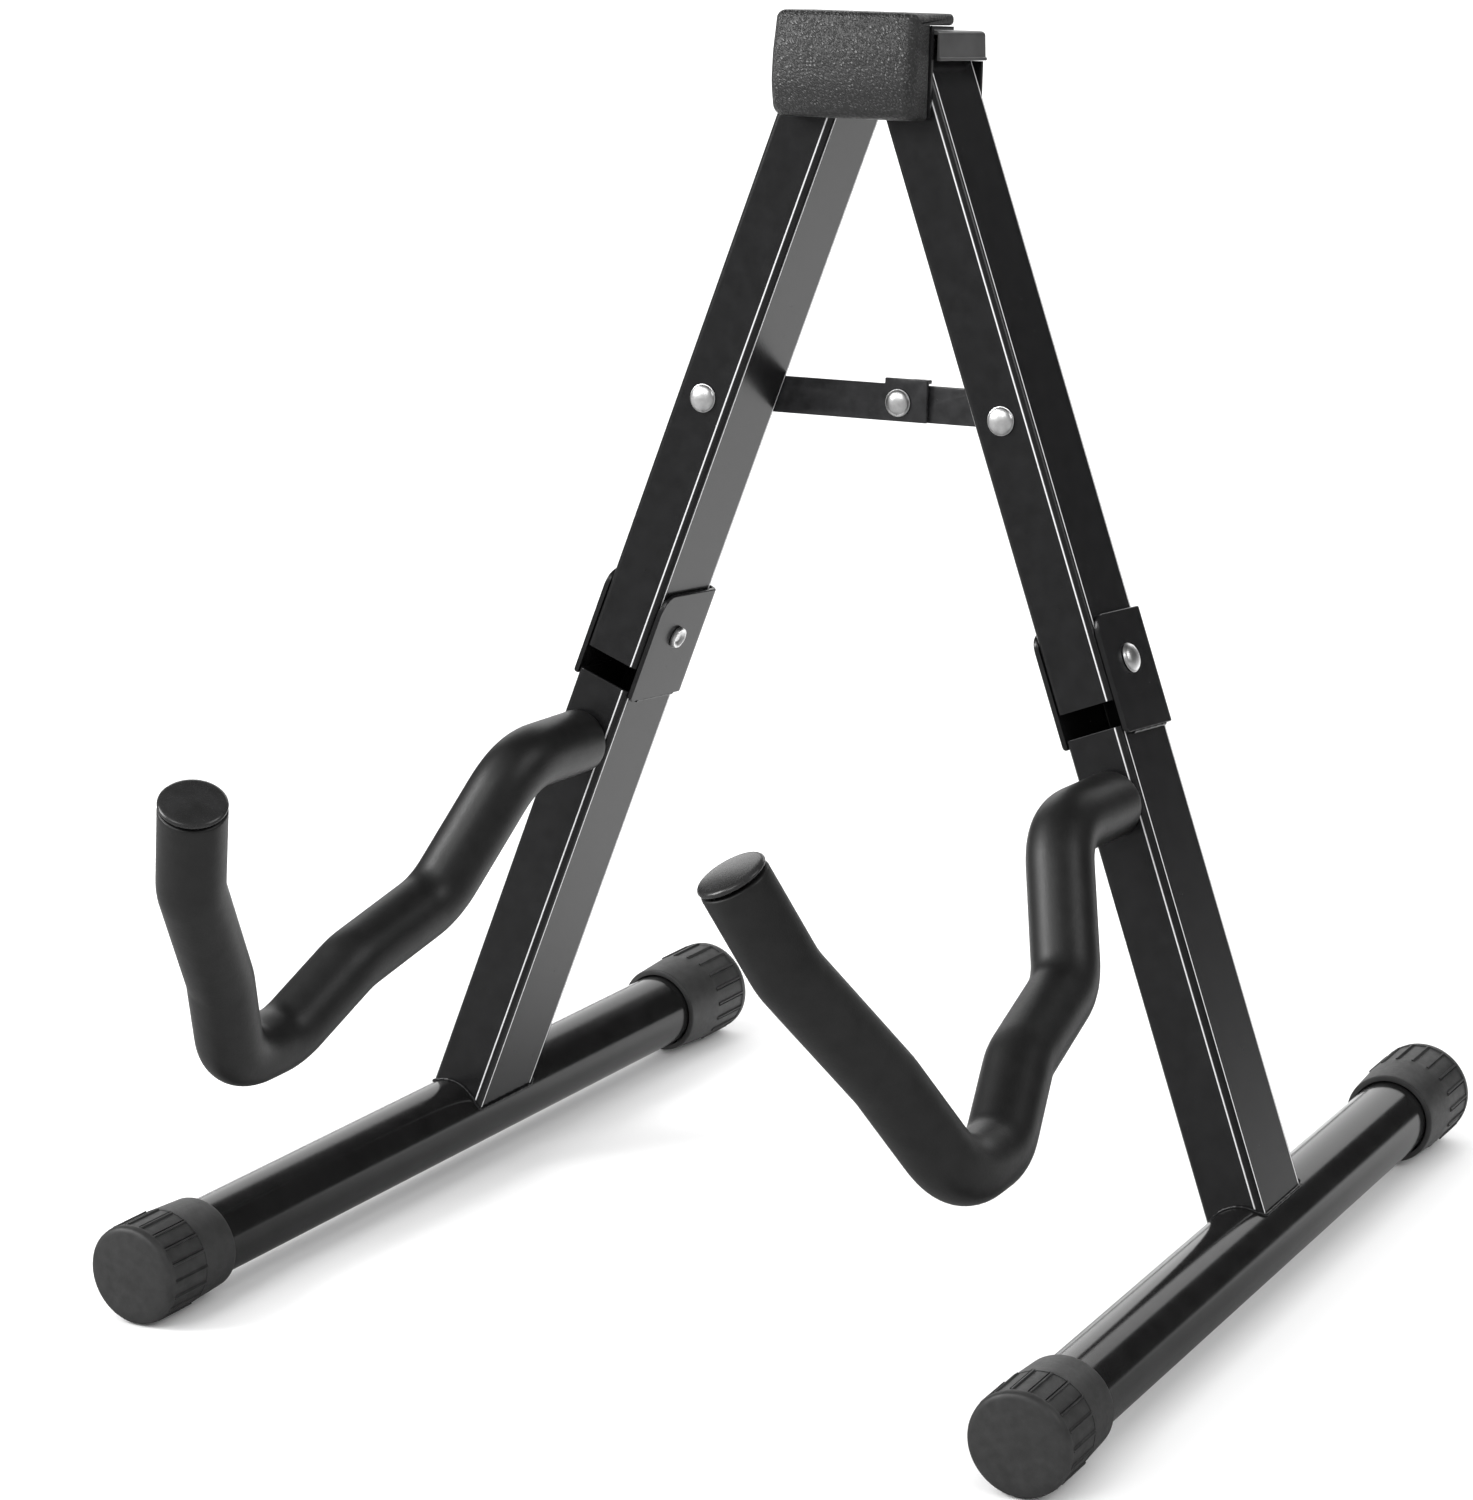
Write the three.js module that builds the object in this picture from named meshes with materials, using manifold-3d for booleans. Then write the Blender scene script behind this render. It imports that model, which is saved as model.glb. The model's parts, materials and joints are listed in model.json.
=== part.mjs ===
// Folding A-frame guitar stand, in millimetres.
// +Z is up and the cradle arms reach forward along -Y. X = 0 is the plane between the two legs.
// Both legs hang from a head. Each leg is an upper tube, a knee that folds forward, a lower tube,
// a foot tube along the floor and a foam-covered arm.

import * as THREE from "three";
import { mergeVertices } from "three/addons/utils/BufferGeometryUtils.js";
import Module from "manifold-3d";

const rad = THREE.MathUtils.degToRad;

// Stance
const LEAN = rad(7); // the legs lean back from upright
const SPREAD = rad(20.5); // each leg swings out from the middle plane
const PIVOT_SPACING = 42; // between the two top pivots, wide enough for closed feet to lie side by side
const GAP = 0.3; // between pieces that touch
const BORE_PLAY = 0.3; // radial play of a pin in its hole

// Legs: rectangular tube, measured down from the top pivot
const LEG_WIDTH = 25;
const LEG_DEPTH = 40;
const LEG_WALL = 1.2;
const LEG_CORNER = 3;
const LEG_TIP = 19; // above the top pivot
const KNEE_DROP = 234; // top pivot to knee pivot
const KNEE_TO_FOOT = 229; // knee pivot to the foot tube's axis
const UPPER_END = 14.2; // the upper tube ends this far below the knee pivot
const LOWER_TOP = 24.5; // the lower tube starts this far below the knee pivot
const BRACE_DROP = 132; // top pivot to the brace's pivot on the leg

// Feet
const FOOT_RADIUS = 15.9;
const FOOT_WALL = 1.2;
const FOOT_FRONT = 231; // from the leg's axis to the front end, cap included
const FOOT_REAR = 185;
const CAP_RADIUS = 20.5;
const CAP_MOUTH_RADIUS = 18.8;
const CAP_LENGTH = 44;
const CAP_END_WALL = 6;
const CAP_SIDES = 28; // facets round a cap, turned so that one of them lies flat on the floor

// Knee bracket: a channel whose web stands behind the leg
const BRACKET_SHEET = 2;
const BRACKET_ABOVE = 19.3; // above the knee pivot
const BRACKET_BELOW = 28;
const BRACKET_FRONT = 19; // forward of the pivot
const BRACKET_CHAMFER = 5;
const BRACKET_BEND = 2; // outside radius of the folded corners

// Rivets and bushes: each head and each pressed tail is [radius, height]
const RIVET_RADIUS = 3;
const TOP_RIVET = { head: [5.5, 1.5], tail: [4.6, 1.6] };
const KNEE_RIVET = { head: [6, 2.8], tail: [4.6, 1.8] };
const BRACE_RIVET = { head: [5.8, 2.6], tail: [4.6, 1.5] };
const BUSH_RADIUS = 4.6;
const PIN_SIDES = 12; // facets round each pin and its hole

// Brace between the upper legs
const BAR_WIDTH = 15;
const BAR_SHEET = 1.8;
const BAR_SET_BACK = 2.4; // the right bar steps back by this much to pass behind the left one
const BAR_STEP_START = 22; // from the right bar's pivot on the leg
const BAR_STEP_END = 31;
const TAB_HEIGHT = 2.4; // the stop tab rises this far above the left bar
const TAB_INNER = 6.5; // the tab's reach towards the left leg
const TAB_OUTER = 13; // the tab and the left bar end this far past the middle rivet
const BEND_SHIFT = 0.5; // keeps the step's sheet about as thick as the bar
const TAB_LIP_START = 5.2; // the lip over the right bar starts here, clear of that bar's round end

// Head
const PLATE_SHEET = 1.6;
const PLATE_HALF_WIDTH = 32.5;
const FRONT_PLATE_BOTTOM = -8;
const BACK_PLATE_BOTTOM = -7;
const FLANGE_SHEET = 1.4;
const FLANGE_BACK = -4; // the flange's back edge, just forward of the middle
const COVER_HALF_WIDTH = 35.3;
const COVER_WALL = 1.4;
const COVER_BOTTOM = 13.9;
const COVER_TOP = 25.4;
const PAD_HALF_WIDTH = 32;
const PAD_BOTTOM = -9.4;
const PAD_TOP = 32;
const PAD_FRONT = 38; // forward of the legs' centre plane
const PAD_BULGE = 3;
const LEDGE_REACH = 20; // how far the ledge runs back over the cover
const RIVET_POCKET = [7, 2.4]; // radius and depth of the pad's pocket over a top rivet's head
const SCREW_SPACING = 40;
const SCREW_FORWARD = 13.5;
const SCREW_SHANK_RADIUS = 1.9;
const SCREW_HEAD_RADIUS = 4.2;
const SCREW_HOLE_RADIUS = 2.3;
const COVER_HOLE_RADIUS = 3;
const COUNTERBORE_RADIUS = 5;
const COUNTERBORE_FLOOR = 2.2; // thickness of pad under a screw's head

// Cradle arm: bent tube in a foam sleeve, as [forward of the leg's centre, below the knee pivot]
const ARM_BENDS = [
  [20.3, 52.5],
  [68, 55.5],
  [96, 113],
  [146, 133],
  [178, 160],
  [211, 164.5],
  [240, 122.5],
  [282, 76],
  [299, 39.5],
];
const ARM_BEND_RADIUS = 27;
const ARM_STEPS = 36;
const ARM_RADIUS = 7;
const ARM_WALL = 1.2;
const FOAM_RADIUS = 12.75;
const ARM_TOE_IN = rad(0.8);
const ARM_OFFSET = 0.5; // outward of the leg's centre
const ARM_CAP_SHEET = 2.2;
const ARM_CAP_STEM = 14;

// Finishes
const paint = () => new THREE.MeshStandardMaterial({ color: 0x17181a, roughness: 0.32, metalness: 0.35 });
const gloss = () => new THREE.MeshStandardMaterial({ color: 0x0b0b0c, roughness: 0.12, metalness: 0.3 });
const steel = () => new THREE.MeshStandardMaterial({ color: 0xc4c6c8, roughness: 0.25, metalness: 1 });
const rubber = () => new THREE.MeshStandardMaterial({ color: 0x242527, roughness: 0.6, metalness: 0 });
const grain = () => new THREE.MeshStandardMaterial({ color: 0x1b1b1d, roughness: 0.55, metalness: 0 });
const foam = () => new THREE.MeshStandardMaterial({ color: 0x1c1c1e, roughness: 0.95, metalness: 0 });
const plastic = () => new THREE.MeshStandardMaterial({ color: 0x303135, roughness: 0.45, metalness: 0 });

const wasm = await Module();
wasm.setup();

// A closed geometry as a solid that can be joined and cut.
function solid(geometry) {
  const bare = geometry.clone();
  bare.deleteAttribute("normal");
  bare.deleteAttribute("uv");
  const merged = mergeVertices(bare, 1e-4);
  return new wasm.Manifold(
    new wasm.Mesh({
      numProp: 3,
      vertProperties: merged.attributes.position.array,
      triVerts: new Uint32Array(merged.index.array),
    }),
  );
}

function geometryOf(body) {
  const { numProp, vertProperties, triVerts } = body.getMesh();
  const points = [];
  for (let i = 0; i < vertProperties.length; i += numProp) points.push(...vertProperties.slice(i, i + 3));
  const geometry = new THREE.BufferGeometry();
  geometry.setAttribute("position", new THREE.Float32BufferAttribute(points, 3));
  geometry.setIndex([...triVerts]);
  geometry.computeVertexNormals();
  return geometry;
}

const cut = (geometry, ...tools) =>
  geometryOf(tools.reduce((body, tool) => body.subtract(solid(tool)), solid(geometry)));
const join = (geometry, ...others) =>
  geometryOf(others.reduce((body, other) => body.add(solid(other)), solid(geometry)));

function piece(name, geometry, material, parent) {
  const mesh = new THREE.Mesh(geometry, material);
  mesh.name = name;
  parent.add(mesh);
  return mesh;
}

function groupIn(parent) {
  const group = new THREE.Group();
  parent.add(group);
  return group;
}

// A closed lathe body along +Z from [radius, z] pairs.
function turned(profile, segments = 24) {
  const points = profile.map(([radius, z]) => new THREE.Vector2(radius, z));
  return new THREE.LatheGeometry(points, segments).rotateX(Math.PI / 2);
}

const ring = (outer, inner, from, to, segments = 24) =>
  turned([[inner, from], [outer, from], [outer, to], [inner, to], [inner, from]], segments);

// A solid cylinder along +Z between two heights.
const rod = (radius, from, to, segments = 16) =>
  new THREE.CylinderGeometry(radius, radius, to - from, segments)
    .rotateX(Math.PI / 2)
    .translate(0, 0, (from + to) / 2);

// A box from its two opposite corners.
const block = (x0, x1, y0, y1, z0, z1) =>
  new THREE.BoxGeometry(x1 - x0, y1 - y0, z1 - z0).translate((x0 + x1) / 2, (y0 + y1) / 2, (z0 + z1) / 2);

// Turn a body built along +Z so that it points along +Y or +X.
const alongY = (geometry) => geometry.rotateX(-Math.PI / 2);
const alongX = (geometry) => geometry.rotateY(Math.PI / 2);

function roundedRectangle(path, width, depth, radius) {
  const x = width / 2 - radius;
  const y = depth / 2 - radius;
  path.absarc(x, y, radius, 0, Math.PI / 2);
  path.absarc(-x, y, radius, Math.PI / 2, Math.PI);
  path.absarc(-x, -y, radius, Math.PI, 1.5 * Math.PI);
  path.absarc(x, -y, radius, 1.5 * Math.PI, 2 * Math.PI);
  path.closePath();
  return path;
}

// An outline drawn in X and Z, made solid between two depths along Y.
function upright(shape, from, to) {
  const options = { depth: to - from, bevelEnabled: false, curveSegments: 6 };
  return new THREE.ExtrudeGeometry(shape, options).rotateX(Math.PI / 2).translate(0, to, 0);
}

// Rectangular leg tube between two heights.
function legTube(from, to) {
  const section = roundedRectangle(new THREE.Shape(), LEG_WIDTH, LEG_DEPTH, LEG_CORNER);
  const inside = new THREE.Path();
  roundedRectangle(inside, LEG_WIDTH - 2 * LEG_WALL, LEG_DEPTH - 2 * LEG_WALL, LEG_CORNER - LEG_WALL);
  section.holes.push(inside);
  const options = { depth: to - from, bevelEnabled: false, curveSegments: 3 };
  return new THREE.ExtrudeGeometry(section, options).translate(0, 0, from);
}

// Rivet along +Z: a domed head below `from`, a shank, and a pressed tail past `to`.
function rivet(from, to, { head: [headRadius, headHeight], tail: [tailRadius, tailHeight] }) {
  const dome = [];
  for (let i = 0; i <= 4; i++) {
    const turn = (i / 4) * (Math.PI / 2);
    dome.push([headRadius * Math.sin(turn), from - headHeight * Math.cos(turn)]);
  }
  return turned(
    [
      ...dome,
      [RIVET_RADIUS, from],
      [RIVET_RADIUS, to],
      [tailRadius, to],
      [tailRadius * 0.8, to + tailHeight],
      [0, to + tailHeight],
    ],
    PIN_SIDES,
  );
}

// A drill whose facets stay outside the given radius.
const holeTool = (radius, from, to) => rod(radius / Math.cos(Math.PI / PIN_SIDES), from, to, PIN_SIDES);

// What brings the foot's axis level, and what turns the foot's own down to the floor's.
const FOOT_PITCH = Math.atan(Math.tan(LEAN) / Math.cos(SPREAD));
const FOOT_ROLL = Math.asin(Math.sin(SPREAD) * Math.cos(LEAN));

const kneeZ = -KNEE_DROP;
const legFace = LEG_DEPTH / 2;
const plateFace = legFace + GAP;
const pinHole = RIVET_RADIUS + BORE_PLAY;
const bush = (halfLength) =>
  ring(BUSH_RADIUS, pinHole / Math.cos(Math.PI / PIN_SIDES), -halfLength, halfLength, PIN_SIDES);

const stand = new THREE.Group();
const head = groupIn(stand);
head.rotation.x = -LEAN;

addHead(head);
for (const [name, side] of [["left", -1], ["right", 1]]) addLeg(name, side, head);
addBrace(head);

function addHead(parent) {
  const pivots = [-PIVOT_SPACING / 2, PIVOT_SPACING / 2];
  const screws = [-SCREW_SPACING / 2, SCREW_SPACING / 2];
  const sides = [-PLATE_HALF_WIDTH, PLATE_HALF_WIDTH];
  const pivotHoles = pivots.map((x) => alongY(holeTool(pinHole, -60, 60)).translate(x, 0, 0));
  const screwHoles = (radius) => screws.map((x) => holeTool(radius, -60, 60).translate(x, -SCREW_FORWARD, 0));
  const flangeBottom = COVER_TOP + GAP;
  const flangeTop = flangeBottom + FLANGE_SHEET;
  const ledgeBottom = flangeTop + GAP;
  const plateOuter = plateFace + PLATE_SHEET;

  const plate = block(...sides, -plateOuter, -plateFace, FRONT_PLATE_BOTTOM, flangeTop);
  const flange = block(...sides, -plateFace, FLANGE_BACK, flangeBottom, flangeTop);
  const frontPlate = cut(join(plate, flange), ...pivotHoles, ...screwHoles(SCREW_HOLE_RADIUS));
  piece("front_plate", frontPlate, paint(), parent);

  const backPlate = block(...sides, plateFace, plateOuter, BACK_PLATE_BOTTOM, COVER_BOTTOM - GAP);
  piece("back_plate", cut(backPlate, ...pivotHoles), paint(), parent);

  // The cover is open below and in front, where the front plate closes it.
  const coverInside = COVER_HALF_WIDTH - COVER_WALL;
  const shell = block(-COVER_HALF_WIDTH, COVER_HALF_WIDTH, -legFace, plateOuter, COVER_BOTTOM, COVER_TOP);
  const hollow = block(-coverInside, coverInside, -2 * legFace, plateFace, 0, COVER_TOP - COVER_WALL);
  piece("top_cover", cut(shell, hollow, ...screwHoles(COVER_HOLE_RADIUS)), plastic(), parent);

  for (const [name, x] of [["left", pivots[0]], ["right", pivots[1]]]) {
    const pin = alongY(rivet(-plateOuter - GAP, plateOuter + GAP, TOP_RIVET));
    piece(`${name}_top_rivet`, pin, steel(), parent).position.x = x;
  }

  const [pocketRadius, pocketDepth] = RIVET_POCKET;
  const pocket = alongY(rod(pocketRadius, -plateOuter - pocketDepth, 0));
  const pockets = pivots.map((x) => pocket.clone().translate(x, 0, 0));
  const boreFloor = ledgeBottom + COUNTERBORE_FLOOR;
  const counterbore = rod(COUNTERBORE_RADIUS, boreFloor, 60, 20).translate(0, -SCREW_FORWARD, 0);
  const counterbores = screws.map((x) => counterbore.clone().translate(x, 0, 0));
  const body = padBody(plateOuter + GAP, ledgeBottom);
  const pad = cut(body, ...pockets, ...screwHoles(SCREW_HOLE_RADIUS), ...counterbores);
  piece("neck_pad", pad, grain(), parent);

  const seat = boreFloor + GAP;
  const shankEnd = COVER_TOP - 1;
  for (const [name, x] of [["left", screws[0]], ["right", screws[1]]]) {
    const screw = turned(
      [
        [0, shankEnd],
        [SCREW_SHANK_RADIUS, shankEnd],
        [SCREW_SHANK_RADIUS, seat],
        [SCREW_HEAD_RADIUS, seat],
        [SCREW_HEAD_RADIUS, seat + 1],
        [SCREW_HEAD_RADIUS * 0.67, seat + 2],
        [0, seat + 2],
      ],
      16,
    );
    piece(`${name}_pad_screw`, screw, steel(), parent).position.set(x, -SCREW_FORWARD, 0);
  }
}

// The pad's side outline: a bulged front, a flat back and a ledge along the top, drawn as [forward, up].
function padBody(back, ledgeBottom) {
  const side = new THREE.Shape();
  side.moveTo(back, PAD_BOTTOM);
  side.lineTo(PAD_FRONT - PAD_BULGE - 3, PAD_BOTTOM);
  side.quadraticCurveTo(PAD_FRONT - 2, PAD_BOTTOM, PAD_FRONT - 1, PAD_BOTTOM + 8);
  side.quadraticCurveTo(PAD_FRONT + 1, (PAD_BOTTOM + PAD_TOP) / 2, PAD_FRONT - PAD_BULGE, PAD_TOP - 4);
  side.quadraticCurveTo(PAD_FRONT - PAD_BULGE - 1, PAD_TOP, PAD_FRONT - PAD_BULGE - 5, PAD_TOP);
  side.lineTo(back - LEDGE_REACH, PAD_TOP);
  side.lineTo(back - LEDGE_REACH, ledgeBottom);
  side.lineTo(back, ledgeBottom);
  side.closePath();
  const options = { depth: 2 * PAD_HALF_WIDTH, bevelEnabled: false, curveSegments: 4 };
  return new THREE.ExtrudeGeometry(side, options)
    .translate(0, 0, -PAD_HALF_WIDTH)
    .rotateX(Math.PI / 2)
    .rotateZ(-Math.PI / 2);
}

function addLeg(name, side, parent) {
  const upper = groupIn(parent);
  upper.position.x = (side * PIVOT_SPACING) / 2;
  upper.rotation.y = -side * SPREAD;
  addUpperLeg(name, upper);

  const lower = groupIn(upper);
  lower.position.z = kneeZ;
  addLowerLeg(name, lower);
  addKnee(name, side, lower);
  addArm(name, side, lower);

  const foot = groupIn(lower);
  foot.position.z = -KNEE_TO_FOOT;
  foot.rotation.x = FOOT_PITCH;
  addFoot(name, side, foot);
}

function addUpperLeg(name, parent) {
  const tube = legTube(kneeZ - UPPER_END, LEG_TIP);
  const drills = [0, -BRACE_DROP].map((z) => alongY(holeTool(pinHole, -60, 60)).translate(0, 0, z));
  const kneeDrill = alongX(holeTool(pinHole, -60, 60)).translate(0, 0, kneeZ);

  // The lower back corner is rounded about the knee pivot, so that it swings clear of the bracket's web.
  const corner = block(-30, 30, 0, 40, kneeZ - 40, kneeZ);
  const sweep = alongX(rod(legFace, -40, 40, 44)).translate(0, 0, kneeZ);
  piece(`${name}_upper_leg`, cut(tube, ...drills, kneeDrill, cut(corner, sweep)), paint(), parent);

  const halfInside = legFace - LEG_WALL - GAP;
  piece(`${name}_top_bush`, alongY(bush(halfInside)), steel(), parent);
  const kneeInside = LEG_WIDTH / 2 - LEG_WALL - GAP;
  piece(`${name}_knee_bush`, alongX(bush(kneeInside)), steel(), parent).position.z = kneeZ;

  const braceTail = legFace + GAP + BAR_SHEET + GAP;
  const pin = alongY(rivet(-legFace - GAP, braceTail, BRACE_RIVET));
  piece(`${name}_brace_rivet`, pin, steel(), parent).position.z = -BRACE_DROP;
}

function addLowerLeg(name, parent) {
  const tube = legTube(-KNEE_TO_FOOT, -LOWER_TOP);
  const cope = alongY(rod(FOOT_RADIUS + GAP, -60, 60, 48)).rotateX(FOOT_PITCH).translate(0, 0, -KNEE_TO_FOOT);
  piece(`${name}_lower_leg`, cut(tube, cope), paint(), parent);
}

function addKnee(name, side, parent) {
  const inner = LEG_WIDTH / 2 + GAP;
  const outer = inner + BRACKET_SHEET;
  const webInner = legFace + GAP;
  const webOuter = webInner + BRACKET_SHEET;
  const plan = new THREE.Shape();
  plan.moveTo(-outer, -BRACKET_FRONT);
  plan.lineTo(-inner, -BRACKET_FRONT);
  plan.lineTo(-inner, webInner);
  plan.lineTo(inner, webInner);
  plan.lineTo(inner, -BRACKET_FRONT);
  plan.lineTo(outer, -BRACKET_FRONT);
  plan.absarc(outer - BRACKET_BEND, webOuter - BRACKET_BEND, BRACKET_BEND, 0, Math.PI / 2);
  plan.absarc(-outer + BRACKET_BEND, webOuter - BRACKET_BEND, BRACKET_BEND, Math.PI / 2, Math.PI);
  plan.closePath();
  const options = { depth: BRACKET_ABOVE + BRACKET_BELOW, bevelEnabled: false, curveSegments: 3 };
  const channel = new THREE.ExtrudeGeometry(plan, options).translate(0, 0, -BRACKET_BELOW);

  const inset = BRACKET_CHAMFER / 2; // the chamfer's middle, in from both edges
  const chamfer = block(-30, 30, -20, 0, -20, 20)
    .rotateX(-Math.PI / 4)
    .translate(0, inset - BRACKET_FRONT, BRACKET_ABOVE - inset);
  const drill = alongX(holeTool(pinHole, -60, 60));
  piece(`${name}_knee_bracket`, cut(channel, chamfer, drill), paint(), parent);

  const pin = alongX(rivet(-outer - GAP, outer + GAP, KNEE_RIVET));
  piece(`${name}_knee_rivet`, pin, steel(), parent).rotation.z = side > 0 ? Math.PI : 0;
}

// Straight runs joined by bends of one radius, in the leg's front-to-back plane.
function armPath(from, to) {
  const corners = ARM_BENDS.map(([forward, below]) => new THREE.Vector3(0, -forward, -below));
  const direction = (a, b) => b.clone().sub(a).normalize();
  const last = corners.length - 1;
  corners[0].addScaledVector(direction(corners[0], corners[1]), from);
  corners[last].addScaledVector(direction(corners[last], corners[last - 1]), to);
  const path = new THREE.CurvePath();
  let start = corners[0];
  for (let i = 1; i < last; i++) {
    const back = direction(corners[i], corners[i - 1]);
    const ahead = direction(corners[i], corners[i + 1]);
    const reach = ARM_BEND_RADIUS / Math.tan(back.angleTo(ahead) / 2);
    const enter = corners[i].clone().addScaledVector(back, reach);
    const leave = corners[i].clone().addScaledVector(ahead, reach);
    path.add(new THREE.LineCurve3(start, enter));
    path.add(new THREE.QuadraticBezierCurve3(enter, corners[i], leave));
    start = leave;
  }
  path.add(new THREE.LineCurve3(start, corners[last]));
  return path;
}

// The corners of a regular polygon round the origin.
function polygon(radius, sides) {
  const centre = new THREE.Vector2();
  const corner = (_, i) => new THREE.Vector2(radius, 0).rotateAround(centre, (i * 2 * Math.PI) / sides);
  return Array.from({ length: sides }, corner);
}

// A round tube swept along the arm's path. Its ends are cut back by `from` and `to`.
function armTube(outer, outerSides, inner, innerSides, from, to) {
  const section = new THREE.Shape(polygon(outer, outerSides));
  section.holes.push(new THREE.Path(polygon(inner, innerSides)));
  return new THREE.ExtrudeGeometry(section, { steps: ARM_STEPS, extrudePath: armPath(from, to) });
}

function addArm(name, side, parent) {
  const arm = groupIn(parent);
  arm.position.set(side * ARM_OFFSET, 0, 0);
  arm.rotation.z = -side * ARM_TOE_IN;

  const foamBore = (ARM_RADIUS + GAP) / Math.cos(Math.PI / 10);
  piece(`${name}_arm_tube`, armTube(ARM_RADIUS, 10, ARM_RADIUS - ARM_WALL, 8, 0.5, 1.5), steel(), arm);
  piece(`${name}_arm_foam`, armTube(FOAM_RADIUS, 14, foamBore, 10, 0.9, 1), foam(), arm);

  const [tip, beforeTip] = [ARM_BENDS.at(-1), ARM_BENDS.at(-2)];
  const stem = (ARM_RADIUS - ARM_WALL) * Math.cos(Math.PI / 8) - GAP;
  const cap = turned(
    [
      [0, -ARM_CAP_STEM],
      [stem, -ARM_CAP_STEM],
      [stem, 0],
      [FOAM_RADIUS - 0.6, 0],
      [FOAM_RADIUS - 0.1, 0.7],
      [FOAM_RADIUS - 0.3, ARM_CAP_SHEET - 0.6],
      [FOAM_RADIUS - 1.6, ARM_CAP_SHEET],
      [0, ARM_CAP_SHEET + 0.8],
    ],
    20,
  );
  const mesh = piece(`${name}_arm_cap`, cap, plastic(), arm);
  mesh.position.set(0, -tip[0], -tip[1]);
  mesh.rotation.x = Math.atan2(tip[0] - beforeTip[0], beforeTip[1] - tip[1]);
}

function addFoot(name, side, parent) {
  const tubeFront = FOOT_FRONT - CAP_END_WALL - GAP;
  const tubeRear = FOOT_REAR - CAP_END_WALL - GAP;
  const tube = alongY(ring(FOOT_RADIUS, FOOT_RADIUS - FOOT_WALL, -tubeFront, tubeRear, 32));
  piece(`${name}_foot_tube`, tube, gloss(), parent);

  const bore = FOOT_RADIUS + GAP;
  const collar = CAP_LENGTH * 0.42;
  for (const [end, reach, turn] of [["front", FOOT_FRONT, Math.PI], ["rear", FOOT_REAR, 0]]) {
    const cap = turned(
      [
        [0, CAP_LENGTH - CAP_END_WALL],
        [bore, CAP_LENGTH - CAP_END_WALL],
        [bore, 0],
        [CAP_MOUTH_RADIUS - 0.8, 0],
        [CAP_MOUTH_RADIUS, 1.2],
        [CAP_RADIUS - 0.6, collar],
        [CAP_RADIUS, collar + 2],
        [CAP_RADIUS, CAP_LENGTH - 5],
        [CAP_RADIUS - 1.4, CAP_LENGTH - 1.6],
        [0, CAP_LENGTH],
      ],
      CAP_SIDES,
    );
    const geometry = alongY(cap.translate(0, 0, reach - CAP_LENGTH));
    const mesh = piece(`${name}_foot_cap_${end}`, geometry, rubber(), parent);
    mesh.rotation.set(0, side * FOOT_ROLL + Math.PI / CAP_SIDES, turn);
  }
}

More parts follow.
